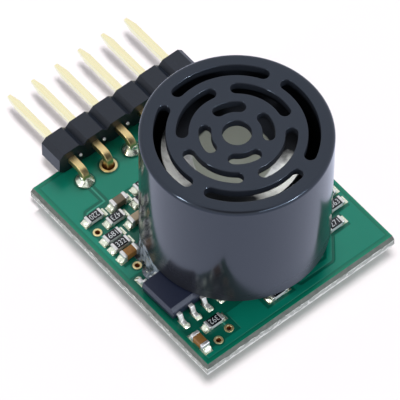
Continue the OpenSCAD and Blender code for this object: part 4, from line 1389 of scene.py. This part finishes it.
def soft_lamp(name, direction, distance, size, level, glossy=True, tint="ffffff"):
    """A rectangular lamp that gives a level surface this share of full white."""
    direction = Vector(direction).normalized()
    lamp = bpy.data.lights.new(name, "AREA")
    lamp.shape, lamp.size, lamp.size_y = "RECTANGLE", *size
    lamp.energy = level * (math.pi * distance) ** 2 / max(direction.z, 0.2)
    lamp.color = colour(tint)[:3]
    thing = put(name, lamp)
    thing.matrix_world = Matrix.Translation(aim + direction * distance) @ direction.to_track_quat(
        "Z", "Y").to_matrix().to_4x4()
    thing.visible_glossy = glossy
    thing.visible_camera = False
    return thing


def sun(name, direction, width, level):
    """A distant lamp, this many degrees wide, that gives a level surface this share of white."""
    direction = Vector(direction).normalized()
    lamp = bpy.data.lights.new(name, "SUN")
    lamp.angle = math.radians(width)
    lamp.energy = level * math.pi / direction.z
    thing = put(name, lamp)
    thing.matrix_world = direction.to_track_quat("Z", "Y").to_matrix().to_4x4()
    return thing


def restrict(lamp, lit, blockers=(), state="INCLUDE"):
    """Lets a lamp light these things alone, or with EXCLUDE all but these. If blockers are given,
    nothing else throws a shadow in its light."""
    for role, things in (("receiver", lit), ("blocker", blockers)):
        if things:
            group = bpy.data.collections.new(f"{lamp.name} {role}s")
            for thing in things:
                group.objects.link(thing)
            for linked in group.collection_objects:
                linked.light_linking.link_state = state
            setattr(lamp.light_linking, f"{role}_collection", group)


key = soft_lamp("key lamp", (0.57, 0.54, 1.0), 0.45, (0.2, 0.2), 0.38, glossy=False)
left_line = soft_lamp("left line lamp", (-0.88, 0.1, 0.5), 0.5, (0.06, 0.2), 0.11)
front = soft_lamp("front lamp", (0.12, -0.87, 0.5), 0.5, (0.4, 0.06), 0.15, tint="e2f0ff")
strip = bpy.data.objects["header_strip"]
amplifier = bpy.data.objects["amplifier_case"]
restrict(key, floors, state="EXCLUDE")
restrict(left_line, [*floors, strip, amplifier], state="EXCLUDE")
restrict(front, [*floors, strip], state="EXCLUDE")

for side, direction, level in (("right", (0.27, -0.85, 0.46), 0.14), ("left", (-0.87, 0.05, 0.48), 0.05)):
    restrict(soft_lamp(f"{side} rim lamp", direction, 0.5, (0.07, 0.03), level), [case])

for side, direction in (("left", (0.92, 0.22, 0.34)), ("right", (0.18, 0.95, 0.3))):
    flank = soft_lamp(f"{side} dish lamp", direction, 0.5, (0.2, 0.3), 0.2)
    restrict(flank, [pressed_dish], [pressed_dish])

restrict(soft_lamp("lamp for the shaded chip", (-0.2, -0.75, 0.63), 0.5, (0.1, 0.1), 0.26),
         [amplifier, gull_leads, lead_solder_drops])

pin_row = [bpy.data.objects[f"header_pin_{way}"] for way in ways]
board_parts = [nodes["circuit_board"], bpy.data.objects["torn_web"]]
restrict(sun("floor lamp for the pin row", (-0.26, -0.33, 1.0), 7, 0.92), [back_floor],
         [*pin_row, strip, *board_parts])
restrict(sun("floor lamp for the board", (-0.08, -0.1, 1.0), 24, 0.9), [front_floor], board_parts)
restrict(sun("floor lamp for the shadows", (-0.08, -0.1, 1.0), 24, 0.36), floors, [front_floor])

# %% View transform
scene.view_settings.view_transform = "Standard"
